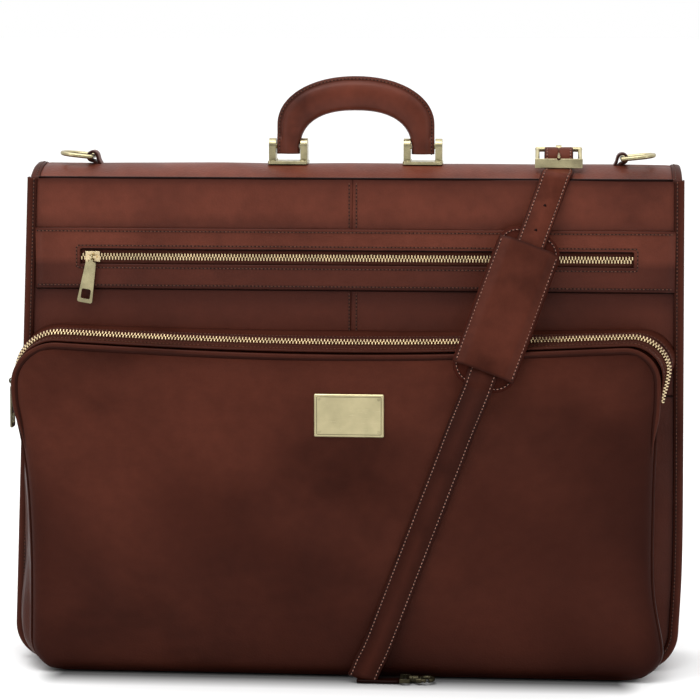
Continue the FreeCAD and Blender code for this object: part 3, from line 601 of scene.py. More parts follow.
def tooth_mesh():
    """One zip tooth: a rounded block, wider at its head."""
    bm = bmesh.new()
    bmesh.ops.create_cube(bm, size=1, matrix=Matrix.Diagonal((1.3 * MM, 3.3 * MM, 1.9 * MM, 1)))
    bmesh.ops.bevel(bm, geom=bm.edges[:], offset=0.3 * MM, segments=1, profile=0.5, affect="EDGES",
                    material=-1)
    mesh = bpy.data.meshes.new("tooth")
    bm.to_mesh(mesh)
    bm.free()
    return mesh


def zip_teeth(points, normals, sizes, name, body, scale=1.0, replaces=()):
    """Two interlocked rows of teeth along a line."""
    tooth = tooth_mesh()
    bm = bmesh.new()
    line = even_line(points, sizes.tooth_pitch * scale / 2)
    heads = tangents(line)
    for k, (place, heading) in enumerate(zip(line, heads)):
        share = k / (len(line) - 1) * (len(normals) - 1)
        normal = normals[int(share)].lerp(normals[min(int(share) + 1, len(normals) - 1)], share % 1)
        side = normal.cross(heading).normalized() * (1 if k % 2 else -1)
        spot = frame_at(place + side * 1.5 * MM * scale, heading, side)
        stamp(bm, tooth, spot @ Matrix.Scale(scale, 4))
    bpy.data.meshes.remove(tooth)
    return finish_piece(bm, name, body, "zip", replaces, smooth=False)


def bell(value, middle, spread):
    """1 at the middle, falling to nothing a few spreads away."""
    return math.exp(-((value - middle) / spread) ** 2)


def in_mm(pairs):
    return [(a * MM, b * MM) for a, b in pairs]


def wobble(x, y, z, size, amount, seed=0.0):
    return noise.noise(Vector((x / size + seed, y / size, z / size))) * amount


def roll(distance, radius):
    """How far a turned edge drops at a distance from it."""
    if distance >= radius:
        return 0.0
    gap = radius - max(distance, 0.0)
    return radius - math.sqrt(max(radius * radius - gap * gap, 0.0))


def spaced(low, high, step):
    count = max(1, round((high - low) / step))
    return [low + (high - low) * k / count for k in range(count + 1)]


def merged(*lists):
    """One rising list with no two values closer than a fifth of a millimetre."""
    out = []
    for value in sorted(v for part in lists for v in part):
        if not out or value - out[-1] > 0.2 * MM:
            out.append(value)
    return out


def half_width(z, low=None, high=None):
    """Half width of one half of the bag at a height, with its rounded corners."""
    low = FOOT_Z if low is None else low
    high = SEAM_Z if high is None else high
    width = BASE_HALF + (TOP_HALF - BASE_HALF) * z / SEAM_Z
    for gap, radius in ((z - low, CORNER_BASE), (high - z, CORNER_TOP)):
        if gap < radius:
            width -= radius - math.sqrt(max(radius * radius - (radius - gap) ** 2, 0.0))
    return width


def lean(z, x=0.0):
    """The slack bag stands a little to the left at its foot, and tucks in at its lower right."""
    tuck = 5 * MM * max(0.0, x / BASE_HALF) ** 3 * math.exp(-(z / 0.07) ** 2)
    return -6.5 * MM * max(0.0, 1 - z / SEAM_Z) - tuck


def corner_rows(low, high, radius_low, radius_high, step):
    """Heights that crowd together where the sides turn in."""
    lower = [low + radius_low * (1 - math.cos(k * math.pi / 20)) for k in range(11)]
    upper = [high - radius_high * (1 - math.cos(k * math.pi / 16)) for k in range(9)]
    return merged(lower, upper, spaced(low + radius_low, high - radius_high, step))


# ---- the two halves ----
def edge_shade(x, z, low, high, reach=26 * MM):
    """Darker near the edges of a panel: partly burnish, partly painted shade where the panel turns in."""
    gap = min(half_width(min(max(z, low), high)) - abs(x), z - low, high - z)
    return max(0.0, 1 - gap / reach) ** 2 * 0.55


def outer_panel(side, rear):
    """One leather panel of a half, from the centre seam to the edge binding."""
    face_y, out = (REAR_FACE_Y, 1.0) if rear else (FACE_Y, -1.0)
    shares = [k / 60 for k in range(61)]
    rows = merged(corner_rows(FOOT_Z, SEAM_Z, CORNER_BASE, CORNER_TOP, 6 * MM),
                  [SEAM_Z - d * MM for d in (0.4, 0.9, 1.6)])

    def place(share, z):
        width = half_width(z) - 0.2 * MM
        x = width * (share ** 1.35)
        drop = roll(x, 0.35 * MM) + roll(SEAM_Z - z, 1.6 * MM)
        swell = 1.1 * MM * math.sin(math.pi * min(1, x / width)) * math.sin(math.pi * z / SEAM_Z)
        soft = wobble(x * side, 3 if rear else 0, z, 0.11, 0.9 * MM) + wobble(x * side, 1, z, 0.03, 0.2 * MM)
        depth = min(swell + soft + 0.3 * MM, 2 * MM) * min(1, (width - x) / (20 * MM)) - drop
        under = 0 if rear else min(1.0, max(0.0, (min(z - BAND_LOW, BAND_HIGH - z) - 2 * MM) / (5 * MM)))
        depth = depth * (1 - under) - 1.3 * MM * under
        return Vector((x * side + lean(z, x * side), face_y + out * depth, z))

    def shade(share, z):
        # seam, top, band and lower are painted shade: in the centre seam's gap, along the top seam, beside the
        # raised band's edges and over the less lit lower panel.
        x = share ** 1.35 * half_width(z)
        seam = max(0.0, 1 - x / (2 * MM)) * 0.25
        top = max(0.0, 1 - (SEAM_Z - z) / (7 * MM)) * 0.4
        band = max(0.0, 1 - abs(z - BAND_HIGH) / (12 * MM), 1 - abs(z - BAND_LOW) / (18 * MM)) * 0.5
        lower = max(0.0, min(1.0, (BAND_LOW + 6 * MM - z) / (10 * MM))) * 0.55
        return min(1.0, edge_shade(x, z, FOOT_Z, SEAM_Z) + seam + top + (0 if rear else band + lower))

    bm = sheet_mesh(shares, rows, place, shade)
    if (side < 0) != rear:
        bmesh.ops.reverse_faces(bm, faces=bm.faces[:])
    word = "left" if side < 0 else "right"
    half = "rear" if rear else "front"
    body = half + "_half"
    return finish_piece(bm, f"{half}_leather_{word}", body, "body",
                        [f"{half}_panel_{word}"] + ([f"{half}_board"] if side < 0 else []), wall=1.9 * MM)


def slot_distance(x, z):
    """Distance from a point to the zip slot's edge, negative inside it."""
    dx = max(CHAIN_LOW.x - 1 * MM - x, x - CHAIN_HIGH.x - 1 * MM)
    dz = abs(z - ZIP_Z) - SLOT_HALF
    if dx > 0 and dz > 0:
        return math.hypot(dx, dz)
    return max(dx, dz)


def zip_band():
    """The leather band with the upper zip's slot, raised on the front."""
    left, right = CHAIN_LOW.x - 1 * MM, CHAIN_HIGH.x + 1 * MM
    slot_low, slot_high = ZIP_Z - SLOT_HALF, ZIP_Z + SLOT_HALF
    turn = [d * MM for d in (0, 0.35, 0.8, 1.5, 2.6)]
    rows = merged([BAND_LOW + d for d in turn], [BAND_HIGH - d for d in turn],
                  [slot_low - d for d in turn], [slot_high + d for d in turn],
                  spaced(BAND_LOW + 5 * MM, slot_low - 5 * MM, 5 * MM),
                  [slot_low + 4 * MM, ZIP_Z, slot_high - 4 * MM],
                  spaced(slot_high + 5 * MM, BAND_HIGH - 5 * MM, 5 * MM))
    edge = half_width(BAND_HIGH) - 7 * MM
    columns = merged([left - d for d in turn], [right + d for d in turn],
                     spaced(-edge, left - 4 * MM, 8 * MM), spaced(left + 4 * MM, right - 4 * MM, 8 * MM),
                     spaced(right + 4 * MM, edge, 8 * MM))

    def place(x, z):
        drop = roll(slot_distance(x, z), 1.3 * MM) + roll(min(z - BAND_LOW, BAND_HIGH - z), 1.2 * MM)
        puff = 0.5 * MM * max(0, math.sin(math.pi * (z - BAND_LOW) / (BAND_HIGH - BAND_LOW)))
        soft = wobble(x, 5, z, 0.05, 0.35 * MM)
        return Vector((x, FACE_Y - 2.3 * MM - puff - soft + drop, z))

    def shade(x, z):
        # lips, rims, lower and the ends term are painted shade: round the slot, along the band's turned edges,
        # over its less lit lower half and at its ends.
        lips = max(0.0, 1 - slot_distance(x, z) / (5 * MM)) * 0.5
        rims = max(0.0, 1 - min(z - BAND_LOW, BAND_HIGH - z) / (4 * MM)) * 0.65
        lower = max(0.0, min(1.0, (ZIP_Z - z) / (8 * MM))) * 0.55
        return min(1.0, lips + rims + lower + max(0.0, abs(x) / edge - 0.86) * 2.4)

    bm = sheet_mesh(columns, rows, place, shade)
    centres = [(f, f.calc_center_median()) for f in bm.faces]
    inside = [f for f, centre in centres if slot_distance(centre.x, centre.z) < -0.1 * MM]
    bmesh.ops.delete(bm, geom=inside, context="FACES")
    return finish_piece(bm, "zip_band_leather", "front_half", "body", ["zip_band"],
                        wall=1.7 * MM)


def dark_beads():
    """Dark beads along the seams of the front: painted shadow in the gaps and under raised edges, with some
    real edge paint.
    """
    edge = half_width(BAND_HIGH) - 7 * MM
    top = TOP_HALF - 9 * MM
    flap = half_width(FLAP_Z) - 8 * MM + lean(FLAP_Z)
    pieces = bmesh.new()
    for y, z, left, right, radius in (
            (FACE_Y - 1.0 * MM, BAND_LOW - 0.1 * MM, -edge, edge, 0.9 * MM),
            (FACE_Y + 0.5 * MM, SEAM_Z - 0.1 * MM, -top, top, 1.1 * MM),
            (FACE_Y - 2.3 * MM, ZIP_Z + 6.9 * MM, CHAIN_LOW.x, CHAIN_HIGH.x, 0.7 * MM),
            (FACE_Y - 0.9 * MM, FLAP_Z, flap - 16 * MM, flap, 0.9 * MM)):
        line = [Vector((x, y, z)) for x in spaced(left, right, 20 * MM)]
        frames = [frame_at(p, UPWARD, FORWARD) for p in line]
        part = sweep_mesh([round_profile(radius, 8)] * len(frames), frames, shades=[1.0] * 8)
        join_into(pieces, part)
    return finish_piece(pieces, "front_seam_shadow_beads", "front_half", "edge_and_shadow_paint")


def band_stitching(sizes):
    bm = bmesh.new()
    out = [FORWARD] * 2
    y = FACE_Y - 2.85 * MM
    edge = half_width(BAND_HIGH) - 9 * MM
    for z in (BAND_HIGH - 3.0 * MM, BAND_LOW + 3.2 * MM):
        stitch_row(bm, [Vector((-edge, y, z)), Vector((edge, y, z))], out, sizes)
    left, right = CHAIN_LOW.x - SLOT_SEAM, CHAIN_HIGH.x + SLOT_SEAM
    low, high = ZIP_Z - SLOT_SEAM_RISE, ZIP_Z + SLOT_SEAM_RISE
    ring = rounded_outline([(left, low), (right, low), (right, high), (left, high)], [1.2 * MM] * 4, 2 * MM)
    line = [Vector((p.x, y - 0.15 * MM, p.y)) for p, _ in ring]
    stitch_row(bm, line + line[:1], out, sizes)
    for x in (-SEAM_STITCHES, SEAM_STITCHES):
        for low, high in ((POCKET_BASE_TOP - 6 * MM, BAND_LOW - 2 * MM),
                          (BAND_HIGH + 2 * MM, SEAM_Z - 3 * MM)):
            line = [Vector((x, FACE_Y - 1.1 * MM, low)), Vector((x, FACE_Y - 0.9 * MM, high))]
            stitch_row(bm, line, out, sizes)
    return finish_piece(bm, "front_panel_stitching", "front_half", "thread_dark")


def binding_profile():
    """Section of the edge binding: across the face and round to the side."""
    points = [(-8.0, 0.3), (-8.0, 1.5), (-7.4, 2.0), (-1.6, 2.2), (-0.2, 1.8), (0.8, 0.9), (1.25, -0.4),
              (1.3, -7.2), (0.9, -8.0), (0.1, -8.0), (0.1, -0.2), (-0.6, 0.3)]
    return in_mm(points)


def edge_binding(rear, sizes):
    """Binding and its stitches up both sides of one half."""
    half = "rear" if rear else "front"
    face_y, out = (REAR_FACE_Y, 1.0) if rear else (FACE_Y, -1.0)
    threads = bmesh.new()
    pieces = bmesh.new()
    for side in (-1, 1):
        path = body_outline(foot=FOOT_Z + 0.4 * MM, closed=False, reach=BASE_HALF - 50 * MM, step=3 * MM)
        frames, line = [], []
        for point, normal in path:
            place = Vector((point.x * side + lean(point.y, point.x * side), face_y, point.y))
            outward = Vector((normal.x * side, 0, normal.y))
            frames.append(frame_at(place, outward, Vector((0, out, 0))))
            line.append(place - outward * BINDING_STITCHES + Vector((0, out * 2.15 * MM, 0)))
        profile = binding_profile()
        shades = [0.9 if a < -7 * MM else 0.25 for a, _ in profile]
        part = sweep_mesh([profile] * len(frames), frames, shades=shades)
        join_into(pieces, part)
        stitch_row(threads, line, [Vector((0, out, 0))] * 2, sizes)
    finish_piece(pieces, f"{half}_edge_binding", f"{half}_half", "binding",
                 [f"{half}_binding"])
    finish_piece(threads, f"{half}_binding_stitching", f"{half}_half", "thread_dark")


def side_wall(rear):
    """The gusset round one half: soft leather that pulls in a little between its seams."""
    half = "rear" if rear else "front"
    outline = body_outline(top=WALL_TOP_Z, step=5 * MM)
    near = (REAR_FACE_Y - 2 * MM) if rear else (FACE_Y + 2 * MM)
    far = SPLIT_Y + (0.6 * MM if rear else -0.6 * MM)
    count = len(outline)
    depths = [k / 14 for k in range(15)]

    def place(number, depth):
        point, normal = outline[number % count]
        upright = abs(normal.x)
        pull = 1.8 * MM * math.sin(math.pi * depth) * upright
        crease = wobble(point.x, near * 40 + depth * 0.02, point.y, 0.03, 0.9 * MM)
        crease *= upright * math.sin(math.pi * depth)
        lip = 0.7 * MM * max(0.0, 1 - (1 - depth) / 0.12) * upright
        shift = -0.5 * MM * upright - pull + crease + lip
        x = point.x + normal.x * shift + lean(point.y, point.x)
        return Vector((x, near + (far - near) * depth, point.y + normal.y * shift))

    bm = sheet_mesh(list(range(count + 1)), depths, place,
                    lambda n, d: 0.25 + 0.5 * max(0.0, 1 - d / 0.15) + 0.35 * max(0.0, 1 - (1 - d) / 0.1))
    bmesh.ops.remove_doubles(bm, verts=bm.verts[:], dist=0.02 * MM)
    if not rear:
        bmesh.ops.reverse_faces(bm, faces=bm.faces[:])
    finish_piece(bm, f"{half}_side_wall", f"{half}_half", "gusset", [f"{half}_gusset"],
                 wall=LEATHER_WALL)


def half_lining(rear):
    """Lining cloth across the inside of one half, quilted a little by its own slack."""
    half = "rear" if rear else "front"
    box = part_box(half + "_lining")
    low, high = box[0].z + 0.5 * MM, box[1].z - 0.5 * MM
    rows = merged(corner_rows(low, high, CORNER_BASE, CORNER_TOP, 8 * MM))
    face, into = (box[0].y, 1) if rear else (box[1].y, -1)

    def place(share, z):
        width = half_width(z, FOOT_Z, SEAM_Z) - 3.2 * MM
        gap = min(width * (1 - abs(share)), z - low, high - z)
        slackness = min(1.0, gap / (40 * MM)) * (wobble(width * share, into, z, 0.06, 0.8 * MM) + 0.4 * MM)
        depth = 0.3 * MM + max(0.0, slackness)
        return Vector((width * share + lean(z, width * share), face + into * depth, z))

    bm = sheet_mesh([k / 40 - 1 for k in range(81)], rows, place)
    if not rear:
        bmesh.ops.reverse_faces(bm, faces=bm.faces[:])
    finish_piece(bm, half + "_lining_cloth", half + "_half", "lining", [half + "_lining"],
                 wall=0.9 * MM)


# ---- spine ----
def crown(y):
    """Height of the crowned spine at a depth measured from the split."""
    share = max(0.0, 1 - (y / SPINE_REACH) ** 2)
    return SEAM_Z + (CREST_Z - SEAM_Z) * share


def spine_leather():
    reach = SPINE_REACH + 2.6 * MM
    rows = merged(spaced(-reach, reach, 3.2 * MM), [-reach + d * MM for d in (0.4, 0.9, 1.6)],
                  [reach - d * MM for d in (0.4, 0.9, 1.6)], [d * MM for d in (1.6, 2.2, 2.6, 3.0, 3.6)])
    columns = spaced(-TOP_HALF + 2 * MM, TOP_HALF - 2 * MM, 6 * MM)

    def place(x, y):
        z = crown(y) + 0.4 * MM
        z -= roll(reach - abs(y), 2.2 * MM)
        z -= roll(TOP_HALF - 2 * MM - abs(x), 9 * MM) * 0.5
        z -= 0.7 * MM * math.exp(-((y - 2.6 * MM) / (0.5 * MM)) ** 2)
        z -= 1.6 * MM * max(0.0, (abs(x) - 0.20) / 0.09) ** 2 * (1 if y < 0 else 0.3)
        z += wobble(x, y, 2, 0.07, 0.7 * MM) * max(0.0, 1 - abs(y) / reach)
        return Vector((x, SPLIT_Y + y, z))

    def shade(x, y):
        ends = max(0.0, 1 - (TOP_HALF - abs(x)) / (12 * MM)) * 0.4
        edges = max(0.0, 1 - (reach - abs(y)) / (4 * MM)) * 0.8
        seams = edges + max(0.0, 1 - abs(y - 2.6 * MM) / (1.6 * MM)) * 0.8
        return min(1.0, ends + seams)

    bm = sheet_mesh(columns, rows, place, shade)
    return finish_piece(bm, "spine_leather", "spine", "body", ["spine_cover"],
                        wall=LEATHER_WALL)


def spine_ends(sizes):
    """Binding over both ends of the spine, and the leather that closes them."""
    threads = bmesh.new()
    pieces = bmesh.new()
    reach = SPINE_REACH + 2.4 * MM
    for side in (-1, 1):
        ys = spaced(-reach, reach, 2.5 * MM)
        frames, line = [], []
        for y in ys:
            edge = TOP_HALF - 1.0 * MM - roll(reach - abs(y), 6 * MM) * 0.6
            place = Vector((side * edge, SPLIT_Y + y, crown(y) - 1.6 * MM - 1.2 * MM * (1 if y < 0 else 0.6)))
            frames.append(frame_at(place, Vector((side, 0, 0)), UPWARD))
            line.append(place + Vector((-side * 5.2 * MM, 0, 3.0 * MM)))
        profile = [(-8.2, 1.0), (-8.2, 2.3), (-7.5, 2.9), (-3.0, 3.0), (-0.9, 2.4), (0.3, 1.2), (0.8, -0.6),
                   (0.8, -4.6), (-0.2, -5.0), (-1.0, -3.0), (-1.4, 0.2)]
        profile = in_mm(profile)
        part = sweep_mesh([profile] * len(frames), frames, shades=[0.85, 0.85] + [0.25] * 9)
        join_into(pieces, part)
        stitch_row(threads, line, [UPWARD] * 2, sizes)
    finish_piece(pieces, "spine_end_binding", "spine", "binding")
    finish_piece(threads, "spine_end_stitching", "spine", "thread_dark")


# ---- the big pocket ----
def pocket_edge(part, inset=0.0, step=5 * MM):
    """The pocket's outline at a depth, 0 at the bag and 1 at its front, with its sagging top."""
    half = POCKET_BASE_HALF + (POCKET_FRONT_HALF - POCKET_BASE_HALF) * part - inset
    top = POCKET_BASE_TOP + (POCKET_FRONT_TOP - POCKET_BASE_TOP) * part - inset
    low = 1.6 * MM * part + inset + 0.4 * MM
    shift = POCKET_BASE_SHIFT + (POCKET_FRONT_SHIFT - POCKET_BASE_SHIFT) * part
    corners = [(shift - half, low), (shift + half, low), (shift + half, top), (shift - half, top)]
    radii = [POCKET_RADIUS * share - inset for share in (0.85, 0.85, 0.84, 1)]
    return rounded_outline(corners, radii, step)


def ease_in(share):
    """Smooth rise from 0 to 1."""
    share = max(0.0, min(1.0, share))
    return share * share * (3 - 2 * share)


def slack(x, z, part=1.0):
    """How far the soft pocket is pushed sideways: out at its upper left, in lower down."""
    left = max(0.0, min(1.0, (-0.16 - x) / 0.12))
    right = max(0.0, min(1.0, (x - 0.16) / 0.10))
    rise = bell(z, 0.262, 0.055)
    low = bell(z, 0.10, 0.09)
    corner = bell(z, 0.02, 0.045)
    tuck = right * ease_in((0.289 - z) / 0.05) * (1 - part) * 19 * MM
    bulge = -8 * MM * left * bell(z, 0.045, 0.045) * math.sin(math.pi * min(1.0, part * 1.2))
    pushed = left * (3 * MM * low - 10 * MM * part * rise) + right * (3 * MM * rise + 11 * MM * corner)
    return bulge + part * pushed - tuck


def sag_at(x, z, sizes, part=1.0):
    """Droop of the pocket's top edge at x."""
    across = max(0.0, 1 - ((x - POCKET_FRONT_SHIFT) / (POCKET_FRONT_HALF * 0.93)) ** 2)
    height = max(0.0, (z - 0.15) / (POCKET_FRONT_TOP - 0.15))
    return sizes.pocket_sag * across ** 1.2 * height ** 2 * (0.35 + 0.65 * part)


def pocket_wall(sizes):
    """The gusset of the big pocket, with folds where it bends at the sides."""
    count = len(pocket_edge(0.5))
    parts = [k / 24 for k in range(25)]
    base, front = pocket_edge(0.0), pocket_edge(1.0)

    def sample(edge, number):
        share = (number % count) / count * len(edge)
        a, b = edge[int(share) % len(edge)], edge[(int(share) + 1) % len(edge)]
        return a[0].lerp(b[0], share % 1), a[1].lerp(b[1], share % 1).normalized()

    def place(number, part):
        p0, n0 = sample(base, number)
        p1, n1 = sample(front, number)
        point, normal = p0.lerp(p1, part), n0.lerp(n1, part).normalized()
        upright = max(0.0, abs(normal.x) - 0.15)
        top = max(0.0, normal.y)
        middle = math.sin(math.pi * part)
        deeper = 0.6 + 0.8 * max(0, 1 - point.y / 0.12)
        fold = -2.6 * MM * bell(part, 0.42, 0.13) * upright * deeper
        crease = wobble(point.x * 3, part * 0.05, point.y, 0.035, 1.4 * MM) * upright * middle
        zip_bed = -1.1 * MM * math.exp(-((part - 0.5) / 0.16) ** 4) * max(top, upright)
        zip_bed *= 1 if point.y > 0.235 else 0
        shift = fold * (0 if point.y > 0.25 else 1) + crease + zip_bed - 0.2 * MM
        reach = part * (0.985 - 0.10 * over_edge(point.y))
        spot = Vector((point.x + normal.x * shift, FACE_Y - POCKET_DEPTH * reach, point.y + normal.y * shift))
        spot.z -= sag_at(spot.x, spot.z, sizes, part) * top
        spot.z = max(spot.z, 0.3 * MM)
        spot.x += slack(spot.x, spot.z, part)
        return spot

    def shade(number, part):
        # rims and the fold are painted shade: in the corners at both edges and in the crease.
        rims = max(0.0, 1 - part / 0.12) * 0.6 + max(0.0, 1 - (1 - part) / 0.12) * 0.5
        return min(1.0, 0.3 + rims + 0.3 * bell(part, 0.42, 0.1))

    bm = sheet_mesh(list(range(count + 1)), parts, place, shade)
    bmesh.ops.remove_doubles(bm, verts=bm.verts[:], dist=0.02 * MM)
    bmesh.ops.recalc_face_normals(bm, faces=bm.faces[:])
    if sum(f.normal.x * f.calc_center_median().x for f in bm.faces) < 0:
        bmesh.ops.reverse_faces(bm, faces=bm.faces[:])
    finish_piece(bm, "pocket_side_leather", "front_half", "gusset", ["pocket_gusset"],
                 wall=LEATHER_WALL)


def pocket_point(share, level, sizes):
    """A point on the pocket's front panel: share runs across, level is the height."""
    low, high = POCKET_LOW, POCKET_FRONT_TOP - 2.0 * MM
    z = low + (high - low) * level
    width = POCKET_FRONT_HALF - 2.0 * MM + 2.4 * MM * over_edge(z)
    upper = POCKET_RADIUS if share < 0 else POCKET_RADIUS * 0.84
    radii = ((z - low, POCKET_RADIUS * 0.85 - 2 * MM), (high - z, upper - 2 * MM))
    for gap, radius in radii:
        if gap < radius:
            width -= radius - math.sqrt(max(radius * radius - (radius - gap) ** 2, 0.0))
    x = POCKET_FRONT_SHIFT + width * share
    return x, z - sag_at(x, z, sizes), width


def plate_ease(x, z):
    """0 under the nameplate and rising to 1 away from it, where the leather swells."""
    middle, half = (PLATE_LOW + PLATE_HIGH) / 2, (PLATE_HIGH - PLATE_LOW) / 2
    gap = math.hypot(max(0.0, abs(x - middle.x) - half.x - 2 * MM),
                     max(0.0, abs(z - middle.z) - half.z - 2 * MM))
    return ease_in(gap / (75 * MM))


def over_edge(z):
    """1 where the front panel rolls over the pocket's edge, 0 where piping trims it."""
    return ease_in((0.250 - z) / 0.04)


def pocket_front(sizes):
    """The big pocket's front: a swollen leather panel, slack over its lower corners."""
    low, high = POCKET_LOW, POCKET_FRONT_TOP - 2.0 * MM
    heights = corner_rows(low, high, POCKET_RADIUS * 0.85, POCKET_RADIUS, 4.5 * MM)
    levels = [(h - low) / (high - low) for h in heights]
    shares = [math.sin(k / 110 * math.pi - math.pi / 2) * 0.35 + (k / 55 - 1) * 0.65 for k in range(111)]

    def place(share, level):
        x, z, width = pocket_point(share, level, sizes)
        gap = min(width * (1 - abs(share)) + 0.4 * MM * (1 - abs(share)), z - low,
                  POCKET_FRONT_TOP - 2 * MM - sag_at(x, z, sizes) - z)
        gap = max(0.0, gap)
        over = over_edge(z)
        drop = roll(gap, 7 * MM) * 0.62 * (1 - over) + roll(gap, 12 * MM) * 0.9 * over
        swell = sizes.pocket_bulge * (math.sin(math.pi * min(1.0, (share + 1) / 2)) ** 0.7) * \
            (math.sin(math.pi * min(1, max(0, level)) ** 0.85) ** 0.8)
        ease = min(1.0, gap / (26 * MM))
        soft = wobble(x, 0, z, 0.16, 2.6 * MM, 3.0) + wobble(x * 1.2, 2, z, 0.07, 1.0 * MM, 7.0) \
            + wobble(x, 4, z, 0.028, 0.25 * MM)
        lower = bell(z, 0.045, 0.03) * wobble(x * 2.0, 6, z * 0.8, 0.09, 1.8 * MM, 1.0)
        depth = (swell + soft + lower) * ease * plate_ease(x, z) - drop
        return Vector((x + slack(x, z), POCKET_Y - max(depth, -11 * MM) + 0.1 * MM, z))

    def shade(share, level):
        x, z, width = pocket_point(share, level, sizes)
        gap = min(width * (1 - abs(share)), z, POCKET_FRONT_TOP - sag_at(x, z, sizes) - z)
        # rim darkens the rolled edges, partly burnish and partly painted shade; low_band and right are painted
        # shade over the lower pocket and its right side, which get less light; cloud gives diagonal streaks of
        # painted sheen and shade.
        rim = max(0.0, 1 - gap / (30 * MM)) ** 2 * (0.5 - 0.2 * over_edge(z))
        low_band = max(0.0, 1 - level / 0.85) ** 1.2 * 0.62
        along, over = x * 0.8 - z * 0.6, x * 0.6 + z * 0.8
        cloud = noise.noise(Vector((along * 5, 1.0, over * 13))) * 0.46
        cloud += noise.noise(Vector((x * 16, 5.0, z * 20))) * 0.14
        right = max(0.0, (x - 0.02) / 0.25) * 0.28
        return min(1.0, max(0.0, rim + low_band + cloud + right + 0.10))

    bm = sheet_mesh(shares, levels, place, shade)
    finish_piece(bm, "pocket_front_leather", "front_half", "pocket", ["pocket_front"],
                 wall=LEATHER_WALL)


def pocket_rim(sizes, grow=0.0):
    """The line of the front panel's edge, as points and outward normals."""
    line = []
    for point, normal in pocket_edge(1.0, inset=0.9 * MM - grow, step=3 * MM):
        z = point.y - sag_at(point.x, point.y, sizes)
        z = max(z, 2.0 * MM)
        place = Vector((point.x + slack(point.x, z), POCKET_Y + 0.9 * MM, z))
        line.append((place, Vector((normal.x, 0, normal.y))))
    return line


def round_profile(radius, sides=10):
    return [(radius * math.cos(2 * math.pi * k / sides), radius * math.sin(2 * math.pi * k / sides))
            for k in range(sides)]


def pocket_piping(sizes):
    """Piping over the top of the panel and part way down its sides, where it tapers off."""
    line = [item for item in pocket_rim(sizes) if item[0].z > 0.205]
    line.sort(key=lambda item: math.atan2(item[0].z - 0.15, item[0].x), reverse=True)
    frames = [frame_at(p - n * 3.0 * MM * over_edge(p.z), n, FORWARD) for p, n in line]
    profile = [(-4.2 * MM, -0.6 * MM), (-4.2 * MM, 0.3 * MM), (-2.0 * MM, 0.6 * MM)]
    arc = [(1.75 * MM * math.cos(a), 1.75 * MM * math.sin(a)) for a in
           (math.radians(d) for d in (140, 110, 80, 50, 20, -10, -40, -70, -100, -130))]
    profiles = []
    for p, _ in line:
        part = 0.12 + 0.88 * ease_in((p.z - 0.208) / 0.035)
        profiles.append([(a * part, b * part) for a, b in profile + arc])
    bm = sweep_mesh(profiles, frames, shades=[1.0, 1.0, 0.9] + [0.35] * 10)
    finish_piece(bm, "pocket_edge_piping", "front_half", "binding", ["pocket_piping"])


def pocket_zip_line(part, lift, sizes):
    """The pocket zip's line at a depth of the gusset, from its left end over the top."""
    edge = pocket_edge(part, step=2.5 * MM)
    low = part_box("pocket_zip_chain")[0].z
    kept = [(p, n) for p, n in edge if p.y > low and n.y > -0.3]
    kept.sort(key=lambda item: math.atan2(item[0].y - 0.15, item[0].x), reverse=True)
    line, outs = [], []
    for point, normal in kept:
        z = point.y - sag_at(point.x, point.y, sizes, part) * max(0.0, normal.y)
        spot = Vector((point.x + normal.x * lift, FACE_Y - POCKET_DEPTH * part * 0.985, z + normal.y * lift))
        spot.x += slack(spot.x, spot.z, part)
        line.append(spot)
        outs.append(Vector((normal.x, 0, normal.y)))
    return line, outs


def pocket_zip(sizes):
    line, outs = pocket_zip_line(0.56, 1.0 * MM, sizes)
    faced = [(n + Vector((0, -0.75, 0))).normalized() for n in outs]
    frames = [frame_at(p, Vector((0, 0.8, 0)) + n * 0.6, f) for p, n, f in zip(line, outs, faced)]
    profile = in_mm(((-6.5, -0.6), (6.5, -0.6), (6.5, 0.1), (0, 0.3), (-6.5, 0.1)))
    tape = sweep_mesh([profile] * len(frames), frames)
    finish_piece(tape, "pocket_zip_cloth", "front_half", "tape", ["pocket_zip_tape"])
    line, outs = pocket_zip_line(0.57, 2.2 * MM, sizes)
    zip_teeth(line, faced, sizes, "pocket_zip_teeth", "front_half", scale=1.05, replaces=["pocket_zip_chain"])
    pieces = bmesh.new()
    threads = bmesh.new()
    for part, out in ((0.32, -1), (0.80, 1)):
        line, outs = pocket_zip_line(part, 0.35 * MM, sizes)
        frames = [frame_at(p, Vector((0, -out, 0)), n) for p, n in zip(line, outs)]
        profile = in_mm(((-3.6, -0.8), (-3.9, 0.2), (-3.3, 0.9), (2.0, 1.0), (8.2, 0.6), (8.2, -0.8)))
        strip = sweep_mesh([profile] * len(frames), frames, shades=[0.9, 0.9, 0.6, 0.2, 0.4, 0.4])
        join_into(pieces, strip)
        seam = [p + n * 1.0 * MM + Vector((0, out * 1.2 * MM, 0)) for p, n in zip(line, outs)]
        stitch_row(threads, seam, outs, sizes)
    finish_piece(pieces, "pocket_zip_facings", "front_half", "gusset")
    finish_piece(threads, "pocket_zip_stitching", "front_half", "thread_dark")


